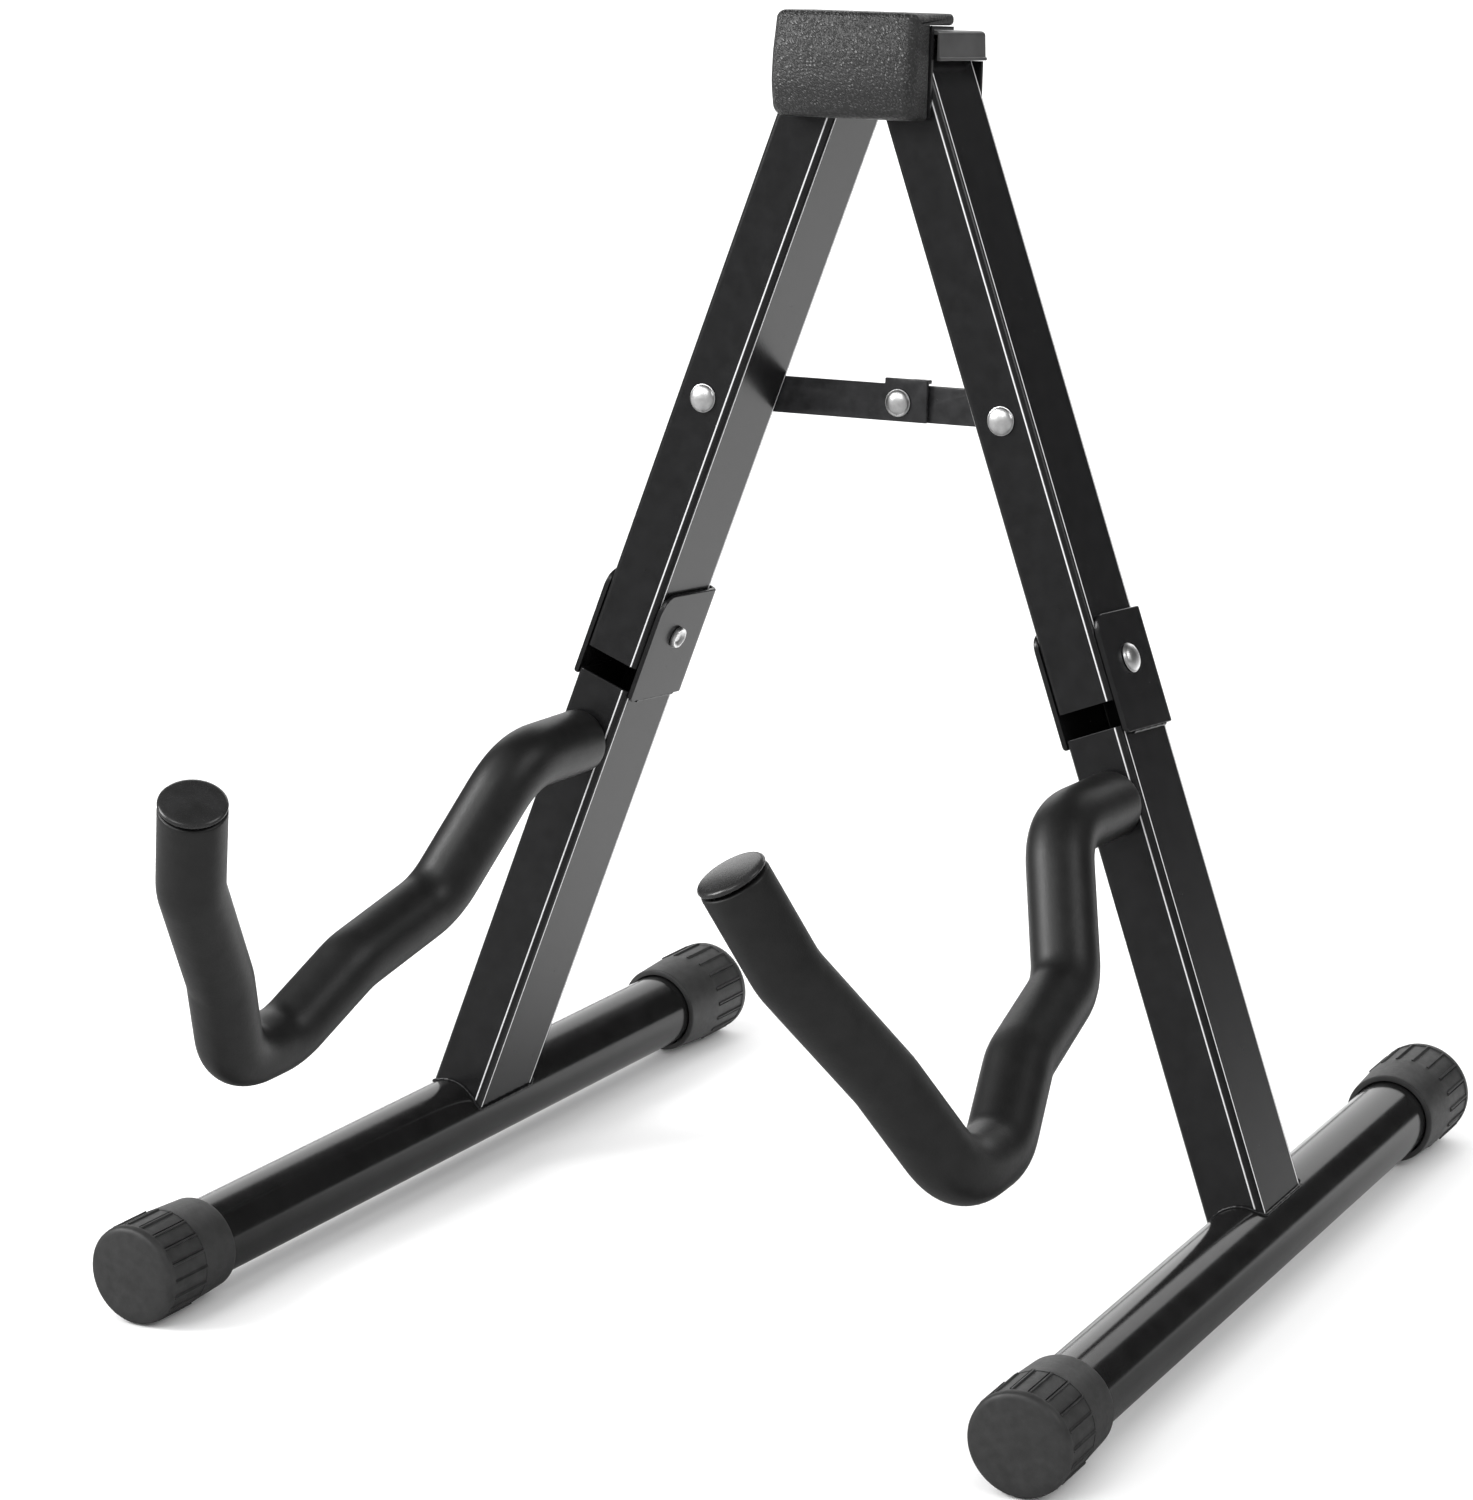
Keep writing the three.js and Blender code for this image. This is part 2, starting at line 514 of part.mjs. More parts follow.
// Two flat bars behind the legs, pinned together in the middle by a rivet in two halves, one on each bar.
function addBrace(parent) {
  const brace = groupIn(parent);
  brace.position.z = -BRACE_DROP * Math.cos(SPREAD);
  const reach = PIVOT_SPACING / 2 + BRACE_DROP * Math.sin(SPREAD);
  const near = legFace + GAP;
  const far = near + BAR_SET_BACK;
  const round = BAR_WIDTH / 2;
  const drill = (x) => alongY(holeTool(pinHole, 0, 60)).translate(x, 0, 0);

  // The left bar is flat, round at the leg and square past the middle. Its tab bends back over the right bar.
  const tabTop = round + TAB_HEIGHT;
  const flat = new THREE.Shape();
  flat.moveTo(TAB_OUTER, -round);
  flat.lineTo(TAB_OUTER, tabTop);
  flat.lineTo(-TAB_INNER, tabTop);
  flat.lineTo(-TAB_INNER, round);
  flat.absarc(-reach, 0, round, Math.PI / 2, 1.5 * Math.PI);
  flat.closePath();
  const leftBar = upright(flat, near, near + BAR_SHEET);
  const lip = block(TAB_LIP_START, TAB_OUTER, near, far + BAR_SHEET, tabTop - BAR_SHEET, tabTop);
  piece("brace_bar_left", cut(join(leftBar, lip), drill(-reach), drill(0)), paint(), brace);

  // The right bar steps back from the leg: its front outline crossed with its plan.
  const ends = new THREE.Shape();
  ends.absarc(reach, 0, round, -Math.PI / 2, Math.PI / 2);
  ends.absarc(0, 0, round, Math.PI / 2, 1.5 * Math.PI);
  ends.closePath();
  const plan = new THREE.Shape();
  plan.moveTo(-round, far);
  plan.lineTo(reach - BAR_STEP_END, far);
  plan.lineTo(reach - BAR_STEP_START, near);
  plan.lineTo(reach + round, near);
  plan.lineTo(reach + round, near + BAR_SHEET);
  plan.lineTo(reach - BAR_STEP_START + BEND_SHIFT, near + BAR_SHEET);
  plan.lineTo(reach - BAR_STEP_END + BEND_SHIFT, far + BAR_SHEET);
  plan.lineTo(-round, far + BAR_SHEET);
  plan.closePath();
  const strip = new THREE.ExtrudeGeometry(plan, { depth: BAR_WIDTH, bevelEnabled: false });
  const outline = solid(upright(ends, near - 1, far + BAR_SHEET + 1));
  const rightBar = geometryOf(outline.intersect(solid(strip.translate(0, 0, -round))));
  piece("brace_bar_right", cut(rightBar, drill(reach), drill(0)), paint(), brace);

  const split = (near + BAR_SHEET + far) / 2;
  const frontHalf = turned(
    [
      [0, near - GAP - 2.4],
      [3.4, near - GAP - 1.9],
      [5, near - GAP - 0.9],
      [5.6, near - GAP],
      [RIVET_RADIUS, near - GAP],
      [RIVET_RADIUS, split - 0.1],
      [0, split - 0.1],
    ],
    PIN_SIDES,
  );
  piece("brace_mid_rivet_head", alongY(frontHalf), steel(), brace);
  const rearEnd = far + BAR_SHEET + GAP;
  const rearHalf = turned(
    [
      [0, split + 0.2],
      [RIVET_RADIUS, split + 0.2],
      [RIVET_RADIUS, rearEnd],
      [4.6, rearEnd],
      [3.8, rearEnd + 1.5],
      [0, rearEnd + 1.5],
    ],
    PIN_SIDES,
  );
  piece("brace_mid_rivet_tail", alongY(rearHalf), steel(), brace);
}

// Stand it on Z = 0, centred in X and Y.
const bounds = new THREE.Box3().setFromObject(stand, true);
const centre = bounds.getCenter(new THREE.Vector3());
stand.position.set(-centre.x, -centre.y, -bounds.min.z);

export default stand;
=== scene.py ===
"""Looks for a folding A-frame guitar stand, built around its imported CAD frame.

Each piece is drawn in millimetres in the frame of the part that carries it: the head, a leg at its
knee, a foot tube or a cradle arm. The frames come from the record's joints.
"""

import json
import math

import bmesh
import bpy
from mathutils import Matrix, Vector


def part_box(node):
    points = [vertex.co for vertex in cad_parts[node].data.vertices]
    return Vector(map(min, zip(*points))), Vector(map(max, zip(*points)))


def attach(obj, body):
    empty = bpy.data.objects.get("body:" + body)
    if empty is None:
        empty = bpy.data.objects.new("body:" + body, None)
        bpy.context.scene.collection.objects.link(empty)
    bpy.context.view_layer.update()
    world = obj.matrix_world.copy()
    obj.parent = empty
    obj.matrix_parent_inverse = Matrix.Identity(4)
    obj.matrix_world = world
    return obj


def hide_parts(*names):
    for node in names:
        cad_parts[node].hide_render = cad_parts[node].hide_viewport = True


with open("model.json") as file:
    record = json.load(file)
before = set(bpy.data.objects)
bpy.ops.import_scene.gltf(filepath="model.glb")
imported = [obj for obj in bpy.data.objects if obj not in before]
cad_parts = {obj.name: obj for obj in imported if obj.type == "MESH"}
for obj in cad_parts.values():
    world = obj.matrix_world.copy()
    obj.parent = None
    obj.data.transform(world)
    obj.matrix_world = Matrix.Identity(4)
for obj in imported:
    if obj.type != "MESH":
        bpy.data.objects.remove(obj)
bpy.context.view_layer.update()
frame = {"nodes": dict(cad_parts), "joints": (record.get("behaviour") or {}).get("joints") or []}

MM = 0.001
GAP = 0.3
SIDES = {"left": -1, "right": 1}

# Camera: place in metres, angles in degrees, lens in millimetres
CAMERA_PLACE = (0.94348, -1.61267, 0.71313)
CAMERA_AZIMUTH = 30.764
CAMERA_ELEVATION = 15.0996
CAMERA_ROLL = -2.0963
CAMERA_LENS = 119.137

# Light and floor: places and sizes in metres
WORLD_WHITE = 1.1
ROOM_FRONT = (-0.3, -0.95, 0)
ROOM_TURN = [-0.4, 0.8]  # from here to here along that way, the room in reflections brightens
ROOM_STRENGTH = [0.02, 0.35]
FLOOR_HALF = 30
FLOOR_LEVEL = -0.0002  # just under the feet
FLOOR_WHITE = 0.93
FLOOR_SHADED = 0.28
FLOOR_BRIGHT_SPOT = (-0.3, 1.0, 0)
FLOOR_SHADE = [0.75, 1.15]  # over this distance from the spot, reflections see the floor darken
SOFTBOXES = {  # place, height of the point they face, size, watts
    "back_box": [(-2.2, 5.6, 2.3), 0.1, (7, 4), 150],
    "left_box": [(-2.0, -1.3, 1.6), 0.2, (1.2, 1.2), 50],
    "right_box": [(2.3, 0.1, 1.9), 0.2, (1.2, 1.2), 16],
    "front_box": [(-0.4, -2.4, 2.2), 0.25, (1.1, 1.1), 16],
}

# Legs: rectangular tube, measured from the knee pivot
LEG_WIDTH = 25
LEG_DEPTH = 40
LEG_WALL = 1.2
LEG_CORNER = 2.6
GLINT_WIDTH = 0.35  # of the painted highlight line where a corner's curve meets a flat side
LEG_TOP = 253
KNEE_TO_BRACE = 102
UPPER_END = -14.2
LOWER_TOP = -24.5
FOOT_DROP = 229
CUT_EDGE = 0.35  # rounding of a sawn tube end
COPE_CLEARANCE = 0.25

# Weld beads
WELD_SPACING = 0.9
FOOT_WELD_RADIUS = 0.75
FOOT_WELD_OUT = 0.35  # from the tube's side
KNEE_WELD_RADIUS = 0.8
KNEE_WELD_RUN = (-13, 16)  # from front to back

# Knee bracket
BRACKET_SHEET = 2
BRACKET_ABOVE = 19.3
BRACKET_BELOW = 28
BRACKET_FRONT = 19
BRACKET_CORNER = 7
BRACKET_LOW_CORNER = 1.2
BRACKET_EDGE = 0.45

# Feet
FOOT_RADIUS = 15.9
FOOT_FRONT = 231
FOOT_REAR = 185
CAP_LENGTH = 44
CAP_END_WALL = 6
CAP_MOUTH_RADIUS = 18.8
CAP_COLLAR_RADIUS = 19.8
CAP_COLLAR = 18.5
CAP_RIBS = 18
CAP_RIB_SHARE = 0.16  # of the pitch from rib to rib
CAP_RIB_HEIGHT = 0.75
CAP_RIB_SLOPE = 0.012  # radians between a rib and the flat of the groove beside it
FOOT_WALL = 1.2

# Head
PAD_HALF_WIDTH = 32
PAD_BOTTOM = -9.4
PAD_TOP = 32
PAD_BACK = 22.2
PAD_FRONT = 38
PAD_CROWN = 1.4  # the front stands out this much more in the middle
PAD_END_RADII = [1.6, 4.2]  # of the end edges, at the back and in front
PAD_LEDGE_BOTTOM = 27.4
PAD_LEDGE_REACH = 20
SCREW_X = 20
SCREW_FORWARD = 13.5
COUNTERBORE_RADIUS = 5
COUNTERBORE_FLOOR = 29.6
COUNTERBORE_TOP = 60  # well clear of the pad
SCREW_HEAD_RADIUS = 4.2
POCKET_RADIUS = 7  # room behind the pad for the heads of the top rivets
POCKET_FRONT = 24.3
POCKET_BACK = 10
COVER_HALF_WIDTH = 35.3
COVER_WALL = 1.4
COVER_BOTTOM = 13.9
COVER_TOP = 25.4
COVER_FRONT = -20
COVER_BACK = 21.9
COVER_LIP = [1.3, 0.4]  # height and how far it stands out
COVER_DRAFT = 0.3  # the sides stand this far in from the lip's face
COVER_EDGE = 1.6  # radius of the top edge
PIVOT_X = 21

# Plates and brace bars
PLATE_SHEET = 1.6
BAR_SHEET = 1.8
BAR_STEP = 2.4  # from the left bar's front to the right bar's front

# Rivets: head radius and height, tail radius and height
TOP_RIVET = [5.5, 1.5, 4.6, 1.6]
KNEE_RIVET = [6, 2.8, 4.6, 1.8]
BRACE_RIVET = [5.8, 2.6, 4.6, 1.5]
MIDDLE_RIVET = [5.6, 2.4, 4.6, 1.5]
RIVET_SHANK = 3

# Cradle arms, as [forward of the leg's centre, below the knee pivot]
ARM_BENDS = [
    [20.3, 52.5],
    [68, 55.5],
    [96, 113],
    [146, 133],
    [178, 160],
    [211, 164.5],
    [240, 122.5],
    [282, 76],
    [299, 39.5],
]
ARM_BEND_RADIUS = 27
ARM_TOE_IN = 0.8
ARM_OFFSET = 0.5
FOAM_RADIUS = 13.1
FOAM_BORE = 7.4
ARM_CAP_SHEET = 2.4

JOINTS = {joint["name"]: joint for joint in frame["joints"]}


# Frames

def axes_at(origin, x_axis, y_axis):
    x = Vector(x_axis).normalized()
    z = x.cross(Vector(y_axis)).normalized()
    y = z.cross(x)
    turn = Matrix((x, y, z)).transposed().to_4x4()
    return Matrix.Translation(origin) @ turn


def joint_place(name):
    return Vector(JOINTS[name]["pos_m"])


def head_frame():
    middle = (joint_place("left_spread") + joint_place("right_spread")) / 2
    return axes_at(middle, (1, 0, 0), -Vector(JOINTS["left_spread"]["axis"]))


def knee_frame(name):
    back = -Vector(JOINTS["left_spread"]["axis"])
    return axes_at(joint_place(f"{name}_knee"), -Vector(JOINTS[f"{name}_knee"]["axis"]), back)


def foot_frame(name):
    knee = knee_frame(name)
    pitch = foot_pitch(name)
    return knee @ Matrix.Translation((0, 0, -FOOT_DROP * MM)) @ Matrix.Rotation(pitch, 4, "X")


def foot_pitch(name):
    """What brings the foot's axis level."""
    knee = knee_frame(name)
    back, up = knee.col[1].z, knee.col[2].z
    return -math.atan2(back, up)


def arm_frame(name):
    side = SIDES[name]
    aside = Matrix.Translation((side * ARM_OFFSET * MM, 0, 0))
    return knee_frame(name) @ aside @ Matrix.Rotation(math.radians(-side * ARM_TOE_IN), 4, "Z")


# Outlines and meshes, in millimetres

def filleted(points, radii, steps=6, closed=True):
    """The outline with its corners rounded. A radius of 0 keeps a corner sharp."""
    made = []
    count = len(points)
    for i, point in enumerate(points):
        corner = Vector(point)
        radius = radii[i] if isinstance(radii, (list, tuple)) else radii
        if radius == 0 or (not closed and i in (0, count - 1)):
            made.append(corner)
            continue
        before = (Vector(points[i - 1]) - corner).normalized()
        after = (Vector(points[(i + 1) % count]) - corner).normalized()
        half = before.angle(after) / 2
        centre = corner + (before + after).normalized() * radius / math.sin(half)
        reach = radius / math.tan(half)
        start = (corner + before * reach - centre).normalized()
        end = (corner + after * reach - centre).normalized()
        for k in range(steps + 1):
            made.append(centre + start.slerp(end, k / steps) * radius)
    return made


def loft(rings, closed=False, capped=True):
    """Quads between rings of equal length. A closed loft runs on from the last ring to the first."""
    bm = bmesh.new()
    rows = [[bm.verts.new(point) for point in ring] for ring in rings]
    pairs = list(zip(rows, rows[1:])) + ([(rows[-1], rows[0])] if closed else [])
    for a, b in pairs:
        for i in range(len(a)):
            j = (i + 1) % len(a)
            bm.faces.new((a[i], a[j], b[j], b[i]))
    if capped and not closed:
        bm.faces.new(reversed(rows[0]))
        bm.faces.new(rows[-1])
    bmesh.ops.remove_doubles(bm, verts=bm.verts, dist=1e-4)
    bmesh.ops.recalc_face_normals(bm, faces=bm.faces)
    return bm


def lathe(profile, segments=48):
    """A closed body round +Z from (radius, z) pairs, whose ends are both on the axis or neither."""
    turns = [2 * math.pi * k / segments for k in range(segments)]
    rings = [[(r * math.cos(t), r * math.sin(t), z) for t in turns] for r, z in profile]
    on_axis = profile[0][0] == 0
    return loft(rings, closed=not on_axis, capped=False)


def rod(radius, low, high, segments):
    """A solid cylinder round +Z."""
    return lathe([(0, low), (radius, low), (radius, high), (0, high)], segments)


def block(low, high):
    bm = bmesh.new()
    bmesh.ops.create_cube(bm, size=1)
    size = [b - a for a, b in zip(low, high)]
    middle = [(a + b) / 2 for a, b in zip(low, high)]
    bm.transform(Matrix.Translation(middle) @ Matrix.Diagonal((*size, 1)))
    return bm


def moved(bm, matrix):
    bm.transform(matrix)
    return bm


def along_y(bm):
    return moved(bm, Matrix.Rotation(-math.pi / 2, 4, "X"))


def along_x(bm):
    return moved(bm, Matrix.Rotation(math.pi / 2, 4, "Y"))


def shift(x=0, y=0, z=0):
    return Matrix.Translation((x, y, z))


def together(*bodies):
    whole = bmesh.new()
    for body in bodies:
        mesh = bpy.data.meshes.new("part")
        body.to_mesh(mesh)
        body.free()
        whole.from_mesh(mesh)
        bpy.data.meshes.remove(mesh)
    return whole


def carved(body, tool):
    """The body with the tool's space cut away."""
    made = []
    for source in (body, tool):
        mesh = bpy.data.meshes.new("carve")
        source.to_mesh(mesh)
        source.free()
        made.append(bpy.data.objects.new("carve", mesh))
        bpy.context.scene.collection.objects.link(made[-1])
    target, cutter = made
    boolean = target.modifiers.new("cut", "BOOLEAN")
    boolean.operation = "DIFFERENCE"
    boolean.solver = "EXACT"
    boolean.object = cutter
    result = bmesh.new()
    result.from_object(target, bpy.context.evaluated_depsgraph_get())
    for obj in made:
        mesh = obj.data
        bpy.data.objects.remove(obj)
        bpy.data.meshes.remove(mesh)
    return result


def add_piece(name, bm, place, material, body, replaced=(), smooth=40):
    """A new object from a mesh drawn in millimetres, riding on a body of the frame."""
    bm.transform(Matrix.Scale(MM, 4))
    mesh = bpy.data.meshes.new(name)
    bm.to_mesh(mesh)
    bm.free()
    mesh.materials.append(material)
    mesh.shade_smooth()
    mesh.set_sharp_from_angle(angle=math.radians(smooth))
    obj = bpy.data.objects.new(name, mesh)
    bpy.context.scene.collection.objects.link(obj)
    obj.matrix_world = place
    weighted = obj.modifiers.new("even_normals", "WEIGHTED_NORMAL")
    weighted.keep_sharp = True
    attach(obj, body)
    if replaced:
        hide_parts(*replaced)
    return obj


# Materials

COLOUR_A, COLOUR_B, COLOUR_OUT = 6, 7, 2  # sockets of a Mix node that mixes colours
# colour of the painted highlight lines on the legs' corners
GLINT = (0.85, 0.85, 0.86, 1)


class Finish:
    """A material whose look is drawn by nodes in the piece's own coordinates."""

    def __init__(self, name, **constants):
        self.material = bpy.data.materials.new(name)
        self.material.use_nodes = True
        self.tree = self.material.node_tree
        self.shader = self.tree.nodes["Principled BSDF"]
        for socket, value in constants.items():
            self.shader.inputs[socket.replace("_", " ")].default_value = value
        self.place = self.node("ShaderNodeTexCoord").outputs["Object"]

    def node(self, kind, inputs=(), **settings):
        made = self.tree.nodes.new(kind)
        for key, value in settings.items():
            setattr(made, key, value)
        for socket, value in dict(inputs).items():
            if isinstance(value, bpy.types.NodeSocket):
                self.tree.links.new(value, made.inputs[socket])
            else:
                made.inputs[socket].default_value = value
        return made

    def noise(self, size, detail=3):
        """Noise whose features are about this many millimetres across."""
        inputs = {"Vector": self.place, "Scale": 1 / (size * MM), "Detail": detail}
        return self.node("ShaderNodeTexNoise", inputs).outputs["Fac"]

    def ramp(self, value, low, high):
        """The value, from 0 to 1, spread between two others."""
        inputs = {"Value": value, "To Min": low, "To Max": high}
        return self.node("ShaderNodeMapRange", inputs).outputs["Result"]

    def colours(self, value, dark, light):
        ramp = self.node("ShaderNodeValToRGB", {"Fac": value})
        ramp.color_ramp.elements[0].position = 0.3
        ramp.color_ramp.elements[0].color = (*dark, 1)
        ramp.color_ramp.elements[1].position = 0.7
        ramp.color_ramp.elements[1].color = (*light, 1)
        return ramp.outputs["Color"]

    def mixed(self, share, first, second):
        mix = self.node("ShaderNodeMix", data_type="RGBA")
        values = {"Factor": share, COLOUR_A: first, COLOUR_B: second}
        for socket, value in values.items():
            if isinstance(value, bpy.types.NodeSocket):
                self.tree.links.new(value, mix.inputs[socket])
            else:
                mix.inputs[socket].default_value = value
        return mix.outputs[COLOUR_OUT]

    def link(self, value, socket):
        self.tree.links.new(value, self.shader.inputs[socket])

    def bump(self, height, depth, strength=1.0, before=None):
        """Relief of about this many millimetres."""
        inputs = {"Height": height, "Distance": depth * MM, "Strength": strength}
        if before is not None:
            inputs["Normal"] = before
        return self.node("ShaderNodeBump", inputs).outputs["Normal"]


def grey(value, blue=1.0):
    return (value, value, value * blue)


def paint(name, dark, light):
    """Semi-gloss powder coat. Where a piece has marked edges, they show as thin painted highlights:
    bright lines painted into the base colour.
    """
    finish = Finish(name, IOR=1.42)
    mottle = finish.noise(6)
    colour = finish.colours(mottle, grey(dark, 1.05), grey(light, 1.05))
    # painted highlight: the marked corner lines are mixed toward a bright grey in the base colour
    painted_glint = finish.node("ShaderNodeAttribute", attribute_name="edge").outputs["Fac"]
    finish.link(finish.mixed(painted_glint, colour, GLINT), "Base Color")
    powder = finish.noise(0.9, detail=2)
    finish.link(finish.ramp(finish.noise(2.5), 0.2, 0.3), "Roughness")
    finish.link(finish.bump(powder, 0.05, 0.35), "Normal")
    return finish.material


def gloss_paint():
    finish = Finish("foot_gloss", IOR=1.5)
    finish.link(finish.colours(finish.noise(12), grey(0.006), grey(0.010)), "Base Color")
    finish.link(finish.ramp(finish.noise(4), 0.12, 0.2), "Roughness")
    finish.link(finish.bump(finish.noise(3.5, detail=1), 0.02, 0.25), "Normal")
    return finish.material


def steel(name, dark, light, rough):
    finish = Finish(name, Metallic=1.0)
    finish.link(finish.colours(finish.noise(1.6), grey(dark), grey(light)), "Base Color")
    finish.link(finish.ramp(finish.noise(0.7), rough * 0.8, rough * 1.3), "Roughness")
    finish.link(finish.bump(finish.noise(0.8), 0.01, 0.2), "Normal")
    return finish.material


def rubber():
    """Moulded rubber with a fine stipple."""
    finish = Finish("cap_rubber", IOR=1.5)
    finish.link(finish.colours(finish.noise(5), grey(0.018), grey(0.028)), "Base Color")
    finish.link(finish.ramp(finish.noise(1.8), 0.42, 0.6), "Roughness")
    finish.link(finish.bump(finish.noise(0.45, detail=2), 0.06, 0.6), "Normal")
    return finish.material


def leather_grain():
    """Small raised cells, drawn out and bent, between fine creases that are painted darker as painted
    shade.
    """
    finish = Finish("pad_grain", IOR=1.5, Specular_IOR_Level=0.85)
    warp = finish.node(
        "ShaderNodeTexNoise", {"Vector": finish.place, "Scale": 1 / (3 * MM), "Detail": 2}
    ).outputs["Color"]
    swing = {"Vector": warp, "Scale": 1.4 * MM}
    bent = finish.node("ShaderNodeVectorMath", {0: finish.place}, operation="ADD")
    scaled = finish.node("ShaderNodeVectorMath", swing, operation="SCALE")
    finish.tree.links.new(scaled.outputs["Vector"], bent.inputs[1])
    turned = finish.node(
        "ShaderNodeMapping",
        {"Vector": bent.outputs["Vector"], "Rotation": (0, 0.7, 0), "Scale": (2.6, 1, 1)},
        vector_type="TEXTURE",
    ).outputs["Vector"]
    cells = finish.node(
        "ShaderNodeTexVoronoi",
        {"Vector": turned, "Scale": 1 / (0.95 * MM)},
        feature="DISTANCE_TO_EDGE",
    ).outputs["Distance"]
    height = finish.node(
        "ShaderNodeMapRange", {"Value": cells, "From Max": 0.4}, interpolation_type="SMOOTHSTEP"
    ).outputs["Result"]
    # painted shade: the base colour darkens into the creases between the cells
    finish.link(finish.colours(height, grey(0.004), grey(0.020)), "Base Color")
    finish.link(finish.ramp(height, 0.5, 0.34), "Roughness")
    fine = finish.bump(finish.noise(0.35), 0.03, 0.4)
    finish.link(finish.bump(height, 0.26, 0.75, fine), "Normal")
    return finish.material


def foam():
    """Closed-cell foam: matt skin with fine pores and slight lumps."""
    finish = Finish("arm_foam", IOR=1.5, Specular_IOR_Level=0.55)
    finish.link(finish.colours(finish.noise(7), grey(0.003), grey(0.006)), "Base Color")
    finish.link(finish.ramp(finish.noise(1.2), 0.4, 0.52), "Roughness")
    pores = finish.node(
        "ShaderNodeTexVoronoi", {"Vector": finish.place, "Scale": 1 / (0.7 * MM)}
    ).outputs["Distance"]
    lumps = finish.bump(finish.noise(9, detail=1), 0.5, 0.25)
    finish.link(finish.bump(pores, 0.06, 0.4, lumps), "Normal")
    return finish.material


def plastic(name, dark, light, rough, stipple):
    finish = Finish(name, IOR=1.5)
    finish.link(finish.colours(finish.noise(8), grey(dark), grey(light, 1.02)), "Base Color")
    finish.link(finish.ramp(finish.noise(2), rough * 0.85, rough * 1.2), "Roughness")
    finish.link(finish.bump(finish.noise(0.4, detail=2), stipple, 0.5), "Normal")
    return finish.material


# Legs

def leg_section(inset, steps=8, runs=14):
    """Rounded rectangle with points along its long sides, so that an end can follow a curve."""
    x, y = LEG_WIDTH / 2 - inset, LEG_DEPTH / 2 - inset
    corner = max(LEG_CORNER - inset, 0.4)
    outline = filleted([(x, -y), (x, y), (-x, y), (-x, -y)], corner, steps)
    made = []
    for a, b in zip(outline, outline[1:] + outline[:1]):
        made.append(a)
        length = (b - a).length
        if length > 2 * corner:
            near = GLINT_WIDTH / length
            made.extend(a.lerp(b, near + (1 - 2 * near) * k / runs) for k in range(runs + 1))
    return made


def leg_tube(low_end, high_end):
    """Tube between two ends, each a function from (x, y) to height."""
    rings = []
    for inset, trim in ((CUT_EDGE, 0), (CUT_EDGE * 0.3, CUT_EDGE * 0.3), (0, CUT_EDGE)):
        rings.append([(p.x, p.y, low_end(p.x, p.y) + trim) for p in leg_section(inset)])
    for inset, trim in ((0, CUT_EDGE), (CUT_EDGE * 0.3, CUT_EDGE * 0.3), (CUT_EDGE, 0)):
        rings.append([(p.x, p.y, high_end(p.x, p.y) - trim) for p in leg_section(inset)])
    inside = leg_section(LEG_WALL)
    rings.append([(p.x, p.y, high_end(p.x, p.y)) for p in inside])
    rings.append([(p.x, p.y, low_end(p.x, p.y)) for p in inside])
    return loft(rings, closed=True)


def mark_painted_glints(obj):
    """Marks, for painted highlights, the two lines where each rounded corner of the tube's right side
    meets the flats.
    """
    x, y = LEG_WIDTH / 2, LEG_DEPTH / 2
    marks = obj.data.attributes.new("edge", "FLOAT", "POINT")
    for vertex, mark in zip(obj.data.vertices, marks.data):
        px, py = vertex.co.x / MM, abs(vertex.co.y) / MM
        on_side = abs(px - x) < 0.02 and abs(py - (y - LEG_CORNER)) < 0.05
        on_front = abs(py - y) < 0.02 and abs(px - (x - LEG_CORNER)) < 0.05
        mark.value = 1 if on_side or on_front else 0


def upper_leg_end(_, y):
    """The lower back corner is rounded about the knee pivot."""
    reach = LEG_DEPTH / 2
    if y < math.sqrt(reach**2 - UPPER_END**2):
        return UPPER_END
    return -math.sqrt(max(reach**2 - y**2, 0))


def lower_leg_end(pitch):
    """The lower leg's end is coped to sit on the foot tube."""
    radius = FOOT_RADIUS + COPE_CLEARANCE

    def height(x, y):
        rise = y * math.sin(pitch) + math.sqrt(radius**2 - x**2)
        return rise / math.cos(pitch) - FOOT_DROP

    return height


def weld_bead(points, radius, closed=True):
    """A bead of weld along a line: short overlapping ripples."""
    path = [Vector(p) for p in points]
    count = len(path)
    rings = []
    for i, point in enumerate(path):
        before = path[i - 1] if closed or i else path[0]
        after = path[(i + 1) % count] if closed or i < count - 1 else path[-1]
        ahead = (after - before).normalized()
        side = ahead.orthogonal().normalized()
        across = ahead.cross(side)
        swell = radius * (1 + 0.16 * math.sin(i * 2.1) + 0.08 * math.sin(i * 0.9 + 1))
        turns = [2 * math.pi * k / 10 for k in range(10)]
        rings.append([point + swell * (math.cos(t) * side + math.sin(t) * across) for t in turns])
    return loft(rings, closed=closed)


def resampled(points, spacing, closed=True):
    """Points at an even spacing along a polyline."""
    path = [Vector(p) for p in points] + ([Vector(points[0])] if closed else [])
    lengths = [0]
    for a, b in zip(path, path[1:]):
        lengths.append(lengths[-1] + (b - a).length)
    count = max(int(lengths[-1] / spacing), 3)
    made, k = [], 0
    for i in range(count if closed else count + 1):
        target = lengths[-1] * i / count
        while k < len(lengths) - 2 and lengths[k + 1] < target:
            k += 1
        span = lengths[k + 1] - lengths[k]
        made.append(path[k].lerp(path[k + 1], (target - lengths[k]) / span if span else 0))
    return made


